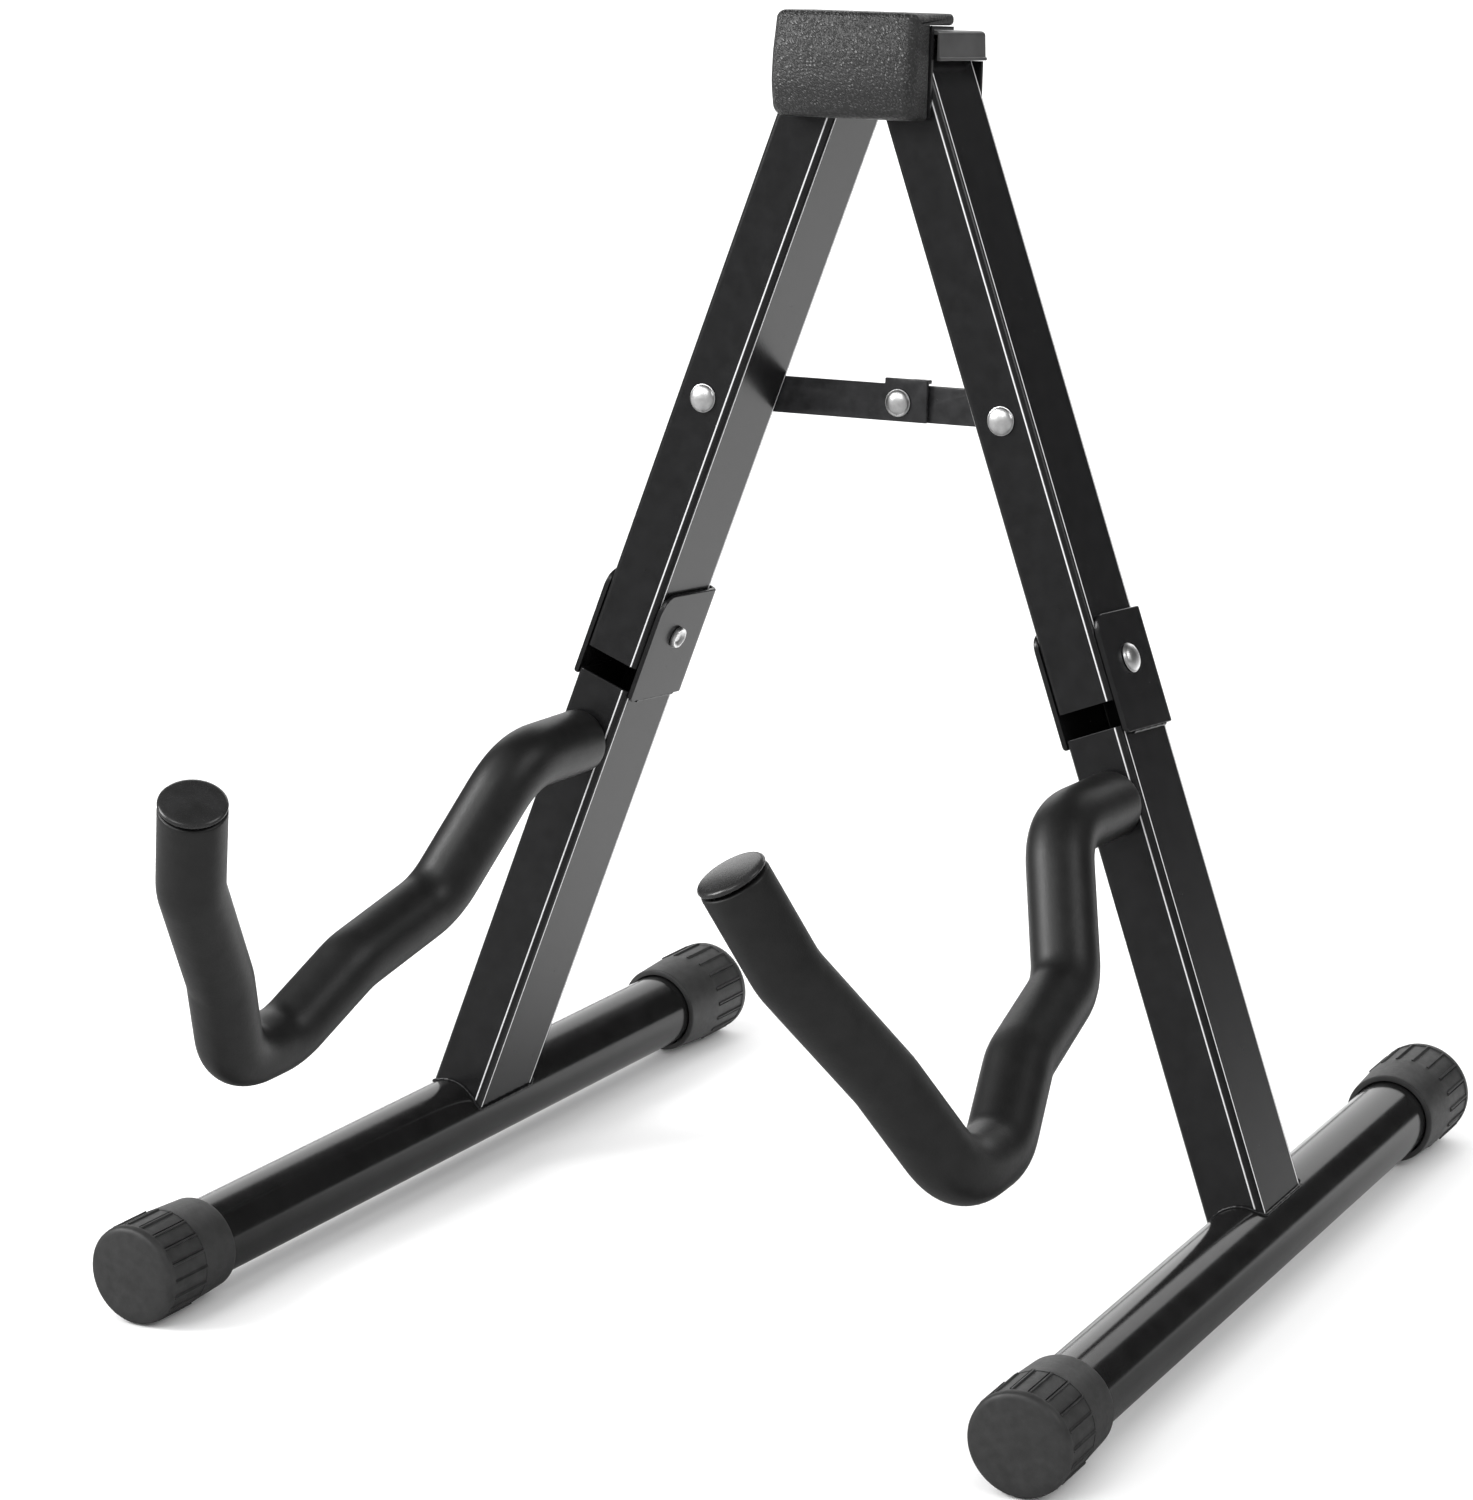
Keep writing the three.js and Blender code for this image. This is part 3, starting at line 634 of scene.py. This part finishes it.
def build_leg(name, look):
    knee = knee_frame(name)
    upper = leg_tube(upper_leg_end, lambda x, y: LEG_TOP)
    upper_piece = add_piece(
        f"{name}_upper_leg_tube", upper, knee, look["paint"], f"{name}_upper",
        [f"{name}_upper_leg"],
    )
    end = lower_leg_end(foot_pitch(name))
    lower = leg_tube(end, lambda x, y: LOWER_TOP)
    lower_piece = add_piece(
        f"{name}_lower_leg_tube", lower, knee, look["paint"], f"{name}_lower",
        [f"{name}_lower_leg"],
    )
    # the right side's corner lines carry painted highlights
    mark_painted_glints(upper_piece)
    mark_painted_glints(lower_piece)

    seam = [(p.x, p.y, end(p.x, p.y)) for p in leg_section(-FOOT_WELD_OUT)]
    bead = weld_bead(resampled(seam, WELD_SPACING), FOOT_WELD_RADIUS)
    add_piece(f"{name}_foot_weld", bead, knee, look["paint"], f"{name}_lower")


# Knee brackets: a channel of sheet, drawn along its line in plan

def corner_drop(distance, radius):
    """How far a rounded corner falls away, this far in from its edge."""
    if distance >= radius:
        return 0
    return radius - math.sqrt(radius**2 - (radius - distance) ** 2)


def bracket_body():
    inner = LEG_WIDTH / 2 + GAP
    half = BRACKET_SHEET / 2
    x, web = inner + half, LEG_DEPTH / 2 + GAP + half
    front = -BRACKET_FRONT
    line = filleted([(-x, front), (-x, web), (x, web), (x, front)], BRACKET_SHEET, 6, closed=False)
    plan = []
    for a, b in zip(line, line[1:]):
        runs = 24 if (b - a).length > 20 else 1
        plan.extend(a.lerp(b, (k / runs) ** 1.5 if a.y < 0 else k / runs) for k in range(runs))
    plan.append(line[-1])
    rings = []
    for i, point in enumerate(plan):
        before, after = plan[max(i - 1, 0)], plan[min(i + 1, len(plan) - 1)]
        ahead = (after - before).normalized()
        out = Vector((-ahead.y, ahead.x))
        from_front = point.y - front
        low, high = -BRACKET_BELOW, BRACKET_ABOVE - corner_drop(from_front, BRACKET_CORNER)
        low += corner_drop(from_front, BRACKET_LOW_CORNER)
        edge = BRACKET_EDGE
        section = [
            (-half, low + edge),
            (-half, high - edge),
            (edge - half, high),
            (half - edge, high),
            (half, high - edge),
            (half, low + edge),
            (half - edge, low),
            (edge - half, low),
        ]
        rings.append([(point.x + out.x * t, point.y + out.y * t, z) for t, z in section])
    return loft(rings)


def build_bracket(name, look):
    knee = knee_frame(name)
    add_piece(
        f"{name}_knee_channel", bracket_body(), knee, look["paint"], f"{name}_lower",
        [f"{name}_knee_bracket"], smooth=50,
    )
    x = LEG_WIDTH / 2 + GAP + BRACKET_SHEET / 2
    for label, side in SIDES.items():
        seam = [(side * x, y, -BRACKET_BELOW - 0.1) for y in KNEE_WELD_RUN]
        path = resampled(seam, WELD_SPACING, closed=False)
        bead = weld_bead(path, KNEE_WELD_RADIUS, closed=False)
        add_piece(
            f"{name}_knee_weld_{label}", bead, knee, look["paint"], f"{name}_lower"
        )


# Rivets and screws

def rivet_body(from_, to, head_radius, head_height, tail_radius, tail_height):
    """A domed head below `from_` with a thin rim, a shank, and a pressed tail past `to`."""
    rim = 0.45
    profile = [(0, from_ - head_height)]
    for k in range(1, 9):
        turn = k / 8 * math.pi / 2
        height = (head_height - rim) * math.cos(turn) + rim
        profile.append(((head_radius - 0.35) * math.sin(turn), from_ - height))
    profile += [(head_radius - 0.08, from_ - rim * 0.8), (head_radius, from_ - rim * 0.35)]
    profile += [(head_radius - 0.1, from_), (RIVET_SHANK, from_), (RIVET_SHANK, to)]
    top = to + tail_height
    profile += [(tail_radius - 0.1, to), (tail_radius, to + 0.25 * tail_height)]
    profile += [(tail_radius * 0.98, to + 0.7 * tail_height), (tail_radius * 0.9, top)]
    profile += [(tail_radius * 0.72, top - 0.1), (tail_radius * 0.5, to + 0.35 * tail_height)]
    profile += [(tail_radius * 0.25, to + 0.2 * tail_height), (0, to + 0.3 * tail_height)]
    return lathe(profile)


def build_rivets(look):
    head = head_frame()
    plate_outer = LEG_DEPTH / 2 + GAP + PLATE_SHEET
    for name, side in SIDES.items():
        knee = knee_frame(name)
        body = along_y(rivet_body(-plate_outer - GAP, plate_outer + GAP, *TOP_RIVET))
        add_piece(
            f"{name}_top_rivet_steel", moved(body, shift(x=side * PIVOT_X)), head, look["steel"],
            "head", [f"{name}_top_rivet"],
        )
        front, back = -LEG_DEPTH / 2 - GAP, LEG_DEPTH / 2 + 2 * GAP + BAR_SHEET
        body = moved(along_y(rivet_body(front, back, *BRACE_RIVET)), shift(z=KNEE_TO_BRACE))
        add_piece(
            f"{name}_brace_rivet_steel", body, knee, look["steel"], f"{name}_upper",
            [f"{name}_brace_rivet"],
        )
        outer = LEG_WIDTH / 2 + 2 * GAP + BRACKET_SHEET
        body = along_x(rivet_body(-outer, outer, *KNEE_RIVET))
        if side > 0:
            body = moved(body, Matrix.Rotation(math.pi, 4, "Z"))
        add_piece(
            f"{name}_knee_rivet_steel", body, knee, look["steel"], f"{name}_lower",
            [f"{name}_knee_rivet"],
        )


def build_middle_rivet(look):
    """The brace's middle rivet, in the two halves that its open pivot leaves."""
    low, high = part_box("brace_mid_rivet_head")
    head = head_frame()
    to_head = head.inverted()
    middle = to_head @ ((low + high) / 2) / MM
    near = LEG_DEPTH / 2 + GAP
    far = near + BAR_STEP
    split = (near + BAR_SHEET + far) / 2
    radius, height, tail_radius, tail_height = MIDDLE_RIVET
    seat = near - GAP
    profile = [(0, seat - height)]
    for k in range(1, 9):
        turn = k / 8 * math.pi / 2
        rise = (height - 0.4) * math.cos(turn)
        profile.append(((radius - 0.35) * math.sin(turn), seat - rise - 0.4))
    profile += [(radius - 0.05, seat - 0.35), (radius, seat - 0.15), (radius - 0.1, seat)]
    profile += [(RIVET_SHANK, seat), (RIVET_SHANK, split - 0.1), (0, split - 0.1)]
    place = shift(z=middle.z)
    add_piece(
        "brace_mid_rivet_dome", moved(along_y(lathe(profile)), place), head, look["steel"],
        "brace_left", ["brace_mid_rivet_head"],
    )
    rear = far + BAR_SHEET + GAP
    profile = [(0, split + 0.2), (RIVET_SHANK, split + 0.2), (RIVET_SHANK, rear)]
    profile += [(tail_radius - 0.1, rear), (tail_radius, rear + 0.3)]
    profile += [(tail_radius * 0.8, rear + tail_height), (tail_radius * 0.45, rear + 0.5)]
    profile += [(0, rear + 0.4)]
    add_piece(
        "brace_mid_rivet_cup", moved(along_y(lathe(profile)), place), head, look["steel"],
        "brace_right", ["brace_mid_rivet_tail"],
    )


def cross_outline(reach, half):
    quarter = [(reach, -half), (reach, half), (half, half)]
    made = []
    for turn in range(4):
        c, s = round(math.cos(turn * math.pi / 2)), round(math.sin(turn * math.pi / 2))
        made += [(c * x - s * y, s * x + c * y) for x, y in quarter]
    return made


def build_screws(look):
    head = head_frame()
    seat = COUNTERBORE_FLOOR + GAP
    radius = SCREW_HEAD_RADIUS
    profile = [(0, COVER_TOP - 1), (1.9, COVER_TOP - 1), (1.9, seat), (radius - 0.2, seat)]
    profile += [(radius, seat + 0.2), (radius, seat + 0.5), (radius - 0.25, seat + 0.8)]
    profile += [(radius * 0.8, seat + 1.1), (radius * 0.5, seat + 1.3), (0, seat + 1.4)]
    for name, side in SIDES.items():
        cross = cross_outline(2.3, 0.5)
        slots = loft([[(x, y, z) for x, y in cross] for z in (seat + 0.4, seat + 4)])
        slots = moved(slots, Matrix.Rotation(math.radians(25 + 30 * side), 4, "Z"))
        body = moved(carved(lathe(profile, 32), slots), shift(side * SCREW_X, -SCREW_FORWARD, 0))
        add_piece(
            f"{name}_pad_screw_head", body, head, look["dark_steel"], "head",
            [f"{name}_pad_screw"], smooth=30,
        )


# Feet

def foot_tube_body():
    front, rear = FOOT_FRONT - CAP_END_WALL - GAP, FOOT_REAR - CAP_END_WALL - GAP
    inner = FOOT_RADIUS - FOOT_WALL
    stations = 24
    outside = [(FOOT_RADIUS, -front + (front + rear) * k / stations) for k in range(stations + 1)]
    return along_y(lathe([(inner, -front), *outside, (inner, rear)], 96))


def cap_body():
    """Rubber cap with its mouth at z = 0 and its domed end at CAP_LENGTH."""
    floor_radius = cap_radius()
    ribs_from, ribs_to = CAP_COLLAR + 1.2, CAP_LENGTH - 5.2
    profile = [
        (0, CAP_LENGTH - CAP_END_WALL, 0),
        (FOOT_RADIUS + GAP, CAP_LENGTH - CAP_END_WALL, 0),
        (FOOT_RADIUS + GAP, 0.5, 0),
        (FOOT_RADIUS + GAP + 0.4, 0, 0),
        (CAP_MOUTH_RADIUS - 0.9, 0, 0),
        (CAP_MOUTH_RADIUS - 0.25, 0.35, 0),
        (CAP_MOUTH_RADIUS, 1.1, 0),
        (CAP_COLLAR_RADIUS - 0.1, CAP_COLLAR - 1.4, 0),
        (CAP_COLLAR_RADIUS, CAP_COLLAR, 0),
        (CAP_COLLAR_RADIUS, ribs_from, 0),
        (floor_radius, ribs_from + 0.05, 1),
        (floor_radius, ribs_to, 1),
        (floor_radius - 0.3, ribs_to + 0.3, 0),
        (floor_radius - 0.2, ribs_to + 1.2, 0),
        (floor_radius - 0.5, CAP_LENGTH - 2.4, 0),
        (floor_radius - 1.2, CAP_LENGTH - 1.5, 0),
        (floor_radius - 2.6, CAP_LENGTH - 0.95, 0),
        (floor_radius - 6, CAP_LENGTH - 0.5, 0),
        (floor_radius - 12, CAP_LENGTH - 0.1, 0),
        (0, CAP_LENGTH, 0),
    ]
    turns = cap_turns()
    rings = []
    for radius, z, ribbed in profile:
        ring = []
        for turn, raised in turns:
            r = radius - (0 if raised or not ribbed else CAP_RIB_HEIGHT)
            ring.append((r * math.cos(turn), r * math.sin(turn), z))
        rings.append(ring)
    return loft(rings, capped=False)


def cap_turns():
    """Angles round the cap, each with whether it is raised.

    A rib ends in a low and a high point at one angle, and the low one sorts first. So the second
    half of the rib slopes down, and its far edge is a thin ridge.
    """
    pitch = 2 * math.pi / CAP_RIBS
    rib = pitch * CAP_RIB_SHARE
    groove = pitch - rib - 2 * CAP_RIB_SLOPE
    made = []
    for k in range(CAP_RIBS):
        start = k * pitch - rib / 2
        made += [(start, True), (start + rib / 2, True), (start + rib, True)]
        made.append((start + rib, False))
        made += [(start + rib + CAP_RIB_SLOPE + groove * j / 6, False) for j in range(7)]
    return sorted(made)


def cap_radius():
    """The foot's axis stands this far above the floor."""
    low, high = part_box("left_foot_tube")
    return (low.z + high.z) / 2 / MM


def build_foot(name, look):
    foot = foot_frame(name)
    add_piece(
        f"{name}_foot_bar", foot_tube_body(), foot, look["gloss"], f"{name}_lower",
        [f"{name}_foot_tube"],
    )
    for end, reach, turn in (("front", FOOT_FRONT, math.pi), ("rear", FOOT_REAR, 0)):
        body = along_y(moved(cap_body(), shift(z=reach - CAP_LENGTH)))
        body = moved(body, Matrix.Rotation(turn, 4, "Z"))
        add_piece(
            f"{name}_foot_boot_{end}", body, foot, look["rubber"], f"{name}_lower",
            [f"{name}_foot_cap_{end}"], smooth=32,
        )


# Cradle arms

def arm_path(spacing=2.0):
    """The arm's centre line as (y, z) points: straight runs joined by bends of one radius."""
    corners = [Vector((0, -forward, -below)) for forward, below in ARM_BENDS]
    line = [corners[0]]
    for before, corner, after in zip(corners, corners[1:], corners[2:]):
        back, ahead = (before - corner).normalized(), (after - corner).normalized()
        reach = ARM_BEND_RADIUS / math.tan(back.angle(ahead) / 2)
        start, end = corner + back * reach, corner + ahead * reach
        for k in range(13):
            t = k / 12
            line.append(start.lerp(corner, t).lerp(corner.lerp(end, t), t))
    line.append(corners[-1])
    return resampled(line, spacing, closed=False)


def foam_body():
    path = arm_path()
    trims = [(0.9, FOAM_BORE), (0.9, FOAM_RADIUS - 0.9), (1.3, FOAM_RADIUS - 0.2)]
    count = 48
    rings = []

    def ring(i, radius, push=0.0):
        before, after = path[max(i - 1, 0)], path[min(i + 1, len(path) - 1)]
        ahead = (after - before).normalized()
        across = Vector((1, 0, 0))
        up = across.cross(ahead)
        centre = path[i] + ahead * push
        turns = [2 * math.pi * k / count for k in range(count)]
        return [centre + radius * (math.cos(t) * across + math.sin(t) * up) for t in turns]

    last = len(path) - 1
    for push, radius in trims:
        rings.append(ring(0, radius, push))
    for i in range(1, last):
        rings.append(ring(i, FOAM_RADIUS))
    for push, radius in reversed(trims):
        rings.append(ring(last, radius, -push - 0.1))
    for i in range(last - 1, 0, -1):
        rings.append(ring(i, FOAM_BORE))
    return loft(rings, closed=True)


def build_arm(name, look):
    arm = arm_frame(name)
    sleeve = add_piece(
        f"{name}_arm_sleeve", foam_body(), arm, look["foam"], f"{name}_lower",
        [f"{name}_arm_foam"], smooth=50,
    )

    tip, before = ARM_BENDS[-1], ARM_BENDS[-2]
    lean = math.atan2(tip[0] - before[0], before[1] - tip[1])
    r = FOAM_RADIUS
    profile = [(0, -14), (4.6, -14), (5, -13.4), (5, 0), (r - 0.7, 0), (r - 0.15, 0.4), (r, 0.9)]
    profile += [(r - 0.12, 1.4), (r - 0.6, 1.95), (r - 1.4, ARM_CAP_SHEET - 0.15)]
    profile += [(r - 2.4, ARM_CAP_SHEET), (r * 0.55, ARM_CAP_SHEET + 0.45)]
    profile += [(0, ARM_CAP_SHEET + 0.6)]
    body = moved(lathe(profile, 64), Matrix.Rotation(lean, 4, "X"))
    add_piece(
        f"{name}_arm_plug", moved(body, shift(y=-tip[0], z=-tip[1])), arm, look["plug"],
        f"{name}_lower", [f"{name}_arm_cap"],
    )


# Head

def pad_outline():
    """The pad's side as (forward, up) points."""
    top, back, low = PAD_TOP, PAD_BACK, PAD_BOTTOM
    corners = [
        (back, low),
        (PAD_FRONT - 2.6, low),
        (PAD_FRONT, low + 13),
        (PAD_FRONT - 0.6, low + 25),
        (PAD_FRONT - 3.6, top),
        (back - PAD_LEDGE_REACH, top),
        (back - PAD_LEDGE_REACH, PAD_LEDGE_BOTTOM),
        (back, PAD_LEDGE_BOTTOM),
    ]
    radii = [2, 5.5, 30, 30, 3.4, 2.2, 2, 0]
    outline = filleted(corners, radii, 7)
    return [(p.x, p.y) for p in outline]


def outline_normals(outline):
    made = []
    count = len(outline)
    for i in range(count):
        ahead = Vector(outline[(i + 1) % count]) - Vector(outline[i - 1])
        made.append(Vector((ahead.y, -ahead.x)).normalized())
    return made


def pad_body():
    outline = pad_outline()
    normals = outline_normals(outline)
    half = PAD_HALF_WIDTH

    def rounding(forward):
        """Radius of the pad's end edges, which are rounder in front."""
        small, large = PAD_END_RADII
        return min(small + max(forward - PAD_BACK - 2, 0) * 0.35, large)

    stations = []
    steps = 6
    for k in range(steps + 1):
        stations.append((-1, math.pi / 2 * (1 - k / steps)))
    stations += [(x, None) for x in (-0.6, -0.3, 0, 0.3, 0.6)]
    for k in range(steps + 1):
        stations.append((1, math.pi / 2 * k / steps))
    rings = []
    for side, turn in stations:
        ring = []
        for (forward, up), normal in zip(outline, normals):
            radius = rounding(forward)
            if turn is None:
                x, inset = side * half, 0
            else:
                x = side * (half - radius * (1 - math.sin(turn)))
                inset = radius * (1 - math.cos(turn))
            hollow = PAD_CROWN * (x / half) ** 2 if forward > PAD_BACK + 8 else 0
            ring.append((x, -(forward - normal.x * inset - hollow), up - normal.y * inset))
        rings.append(ring)
    body = loft(rings)
    bmesh.ops.triangulate(body, faces=[f for f in body.faces if len(f.verts) > 4])
    pockets = []
    for side in SIDES.values():
        bore = rod(COUNTERBORE_RADIUS, COUNTERBORE_FLOOR, COUNTERBORE_TOP, 40)
        pockets.append(moved(bore, shift(side * SCREW_X, -SCREW_FORWARD, 0)))
        pocket = along_y(rod(POCKET_RADIUS, -POCKET_FRONT, -POCKET_BACK, 32))
        pockets.append(moved(pocket, shift(side * PIVOT_X, 0, 0)))
    return carved(body, together(*pockets))


def build_pad(look):
    pad = add_piece(
        "neck_pad_cover", pad_body(), head_frame(), look["leather"], "head",
        ["neck_pad"], smooth=38,
    )


def cover_ring(z, inset):
    x = COVER_HALF_WIDTH - inset
    corners = [(x, COVER_FRONT), (x, COVER_BACK - inset), (-x, COVER_BACK - inset), (-x, COVER_FRONT)]
    outline = filleted(corners, [0.3, 3.2, 3.2, 0.3], 8)
    return [(p.x, p.y, z) for p in outline]


def cover_body():
    lip_height, lip_out = COVER_LIP
    rings = [
        cover_ring(COVER_BOTTOM, 0.25),
        cover_ring(COVER_BOTTOM + 0.2, 0),
        cover_ring(COVER_BOTTOM + lip_height - 0.2, 0),
        cover_ring(COVER_BOTTOM + lip_height, 0.2),
        cover_ring(COVER_BOTTOM + lip_height + 0.15, lip_out),
    ]
    side_top = COVER_TOP - COVER_EDGE
    rings.append(cover_ring(side_top, COVER_DRAFT + lip_out))
    for k in range(1, 7):
        turn = k / 6 * math.pi / 2
        inset = COVER_DRAFT + lip_out + COVER_EDGE * (1 - math.cos(turn))
        rings.append(cover_ring(side_top + COVER_EDGE * math.sin(turn), inset))
    inside = COVER_HALF_WIDTH - COVER_WALL
    low = (-inside, COVER_FRONT - 20, 0)
    high = (inside, COVER_BACK - COVER_WALL - 0.4, COVER_TOP - COVER_WALL)
    hollow = block(low, high)
    return carved(loft(rings), hollow)


def build_cover(look):
    add_piece(
        "top_cover_shell", cover_body(), head_frame(), look["cover"], "head",
        ["top_cover"], smooth=32,
    )


# Pieces that keep their CAD shape. Only the pressed sheet gets softened edges.

def finish_cad(look):
    edges = {
        "front_plate": ("paint", 0.5),
        "back_plate": ("paint", 0.5),
        "brace_bar_left": ("lit_bar_paint", 0.5),
        "brace_bar_right": ("lit_bar_paint", 0.5),
    }
    tubes = ["top_bush", "knee_bush", "arm_tube"]
    edges.update({f"{side}_{n}": ("plain_steel", 0) for side in SIDES for n in tubes})
    for name, (finish, width) in edges.items():
        obj = frame["nodes"][name]
        obj.data.materials.clear()
        obj.data.materials.append(look[finish])
        weld = obj.modifiers.new("weld", "WELD")
        weld.merge_threshold = 0.00002
        if width:
            flat = obj.modifiers.new("flats", "DECIMATE")
            flat.decimate_type = "DISSOLVE"
            flat.angle_limit = math.radians(1)
            bevel = obj.modifiers.new("edges", "BEVEL")
            bevel.width = width * MM
            bevel.segments = 3
            bevel.limit_method = "ANGLE"
            bevel.angle_limit = math.radians(25)
            bevel.harden_normals = True
        obj.data.shade_smooth()
        obj.data.set_sharp_from_angle(angle=math.radians(35))


# Studio

def build_floor():
    """A white floor. Reflections see it bright behind the stand only, and shaded elsewhere."""
    bm = bmesh.new()
    half = FLOOR_HALF
    corners = [(-half, -half), (half, -half), (half, half), (-half, half)]
    bm.faces.new([bm.verts.new((x, y, FLOOR_LEVEL)) for x, y in corners])
    mesh = bpy.data.meshes.new("floor")
    bm.to_mesh(mesh)
    bm.free()
    finish = Finish("studio_floor", Roughness=0.9, Specular_IOR_Level=0.1)
    ends = {0: finish.place, 1: FLOOR_BRIGHT_SPOT}
    away = finish.node("ShaderNodeVectorMath", ends, operation="DISTANCE").outputs["Value"]
    near, far = FLOOR_SHADE
    spread = {"Value": away, "From Min": near, "From Max": far}
    ramp = finish.node("ShaderNodeMapRange", spread, interpolation_type="SMOOTHSTEP")
    glossy = finish.node("ShaderNodeLightPath").outputs["Is Glossy Ray"]
    both = {0: ramp.outputs["Result"], 1: glossy}
    share = finish.node("ShaderNodeMath", both, operation="MULTIPLY").outputs["Value"]
    white, shaded = (*grey(FLOOR_WHITE), 1), (*grey(FLOOR_SHADED), 1)
    finish.link(finish.mixed(share, white, shaded), "Base Color")
    mesh.materials.append(finish.material)
    floor = bpy.data.objects.new("floor", mesh)
    bpy.context.scene.collection.objects.link(floor)


def add_light(name, place, target, size, power):
    data = bpy.data.lights.new(name, "AREA")
    data.shape = "RECTANGLE"
    data.size, data.size_y = size
    data.energy = power
    light = bpy.data.objects.new(name, data)
    bpy.context.scene.collection.objects.link(light)
    light.location = place
    aim = Vector(target) - Vector(place)
    light.rotation_mode = "QUATERNION"
    light.rotation_quaternion = aim.to_track_quat("-Z", "Y")


def build_light():
    """White surroundings for the floor. Reflections see a room that is pale in front only."""
    world = bpy.data.worlds.new("studio")
    world.use_nodes = True
    bpy.context.scene.world = world
    nodes, links = world.node_tree.nodes, world.node_tree.links
    rays = nodes.new("ShaderNodeLightPath")
    place = nodes.new("ShaderNodeTexCoord")
    facing = nodes.new("ShaderNodeVectorMath")
    facing.operation = "DOT_PRODUCT"
    facing.inputs[1].default_value = ROOM_FRONT
    links.new(place.outputs["Generated"], facing.inputs[0])
    room = nodes.new("ShaderNodeMapRange")
    room.interpolation_type = "SMOOTHSTEP"
    sockets = ("From Min", "From Max", "To Min", "To Max")
    for socket, value in zip(sockets, ROOM_TURN + ROOM_STRENGTH):
        room.inputs[socket].default_value = value
    links.new(facing.outputs["Value"], room.inputs["Value"])
    mix = nodes.new("ShaderNodeMix")
    mix.inputs["A"].default_value = WORLD_WHITE
    links.new(rays.outputs["Is Glossy Ray"], mix.inputs["Factor"])
    links.new(room.outputs["Result"], mix.inputs["B"])
    links.new(mix.outputs["Result"], nodes["Background"].inputs["Strength"])
    nodes["Background"].inputs["Color"].default_value = (1, 1, 1, 1)

    for name, (spot, height, size, power) in SOFTBOXES.items():
        add_light(name, spot, (0, 0, height), size, power)


def build_camera():
    azimuth, elevation = math.radians(CAMERA_AZIMUTH), math.radians(CAMERA_ELEVATION)
    back = Vector(
        (
            math.sin(azimuth) * math.cos(elevation),
            -math.cos(azimuth) * math.cos(elevation),
            math.sin(elevation),
        )
    )
    right = Vector((0, 0, 1)).cross(back).normalized()
    level = Matrix((right, back.cross(right), back)).transposed().to_4x4()
    data = bpy.data.cameras.new("camera")
    data.lens = CAMERA_LENS
    data.sensor_width = 36
    data.clip_end = 100
    camera = bpy.data.objects.new("camera", data)
    bpy.context.scene.collection.objects.link(camera)
    camera.matrix_world = (
        Matrix.Translation(CAMERA_PLACE) @ level @ Matrix.Rotation(math.radians(CAMERA_ROLL), 4, "Z")
    )
    bpy.context.scene.camera = camera


def finishes():
    """Every material, by the name that the pieces use."""
    return {
        "paint": paint("leg_paint", 0.006, 0.010),
        # painted light: the brace bars get the legs' paint made lighter, to stand in for the light
        # they catch
        "lit_bar_paint": paint("lit_bar_paint", 0.018, 0.032),
        "gloss": gloss_paint(),
        "steel": steel("rivet_steel", 0.72, 0.85, 0.34),
        "plain_steel": steel("bush_steel", 0.35, 0.5, 0.35),
        "dark_steel": plastic("dark_screw", 0.006, 0.012, 0.35, 0.01),
        "rubber": rubber(),
        "leather": leather_grain(),
        "foam": foam(),
        "plug": plastic("cap_plastic", 0.014, 0.022, 0.26, 0.02),
        "cover": plastic("cover_plastic", 0.035, 0.05, 0.38, 0.04),
    }


look = finishes()
bpy.context.scene.view_settings.view_transform = "Standard"
build_camera()
build_floor()
build_light()
for side_name in SIDES:
    build_leg(side_name, look)
    build_bracket(side_name, look)
    build_foot(side_name, look)
    build_arm(side_name, look)
build_rivets(look)
build_middle_rivet(look)
build_screws(look)
build_pad(look)
build_cover(look)
finish_cad(look)
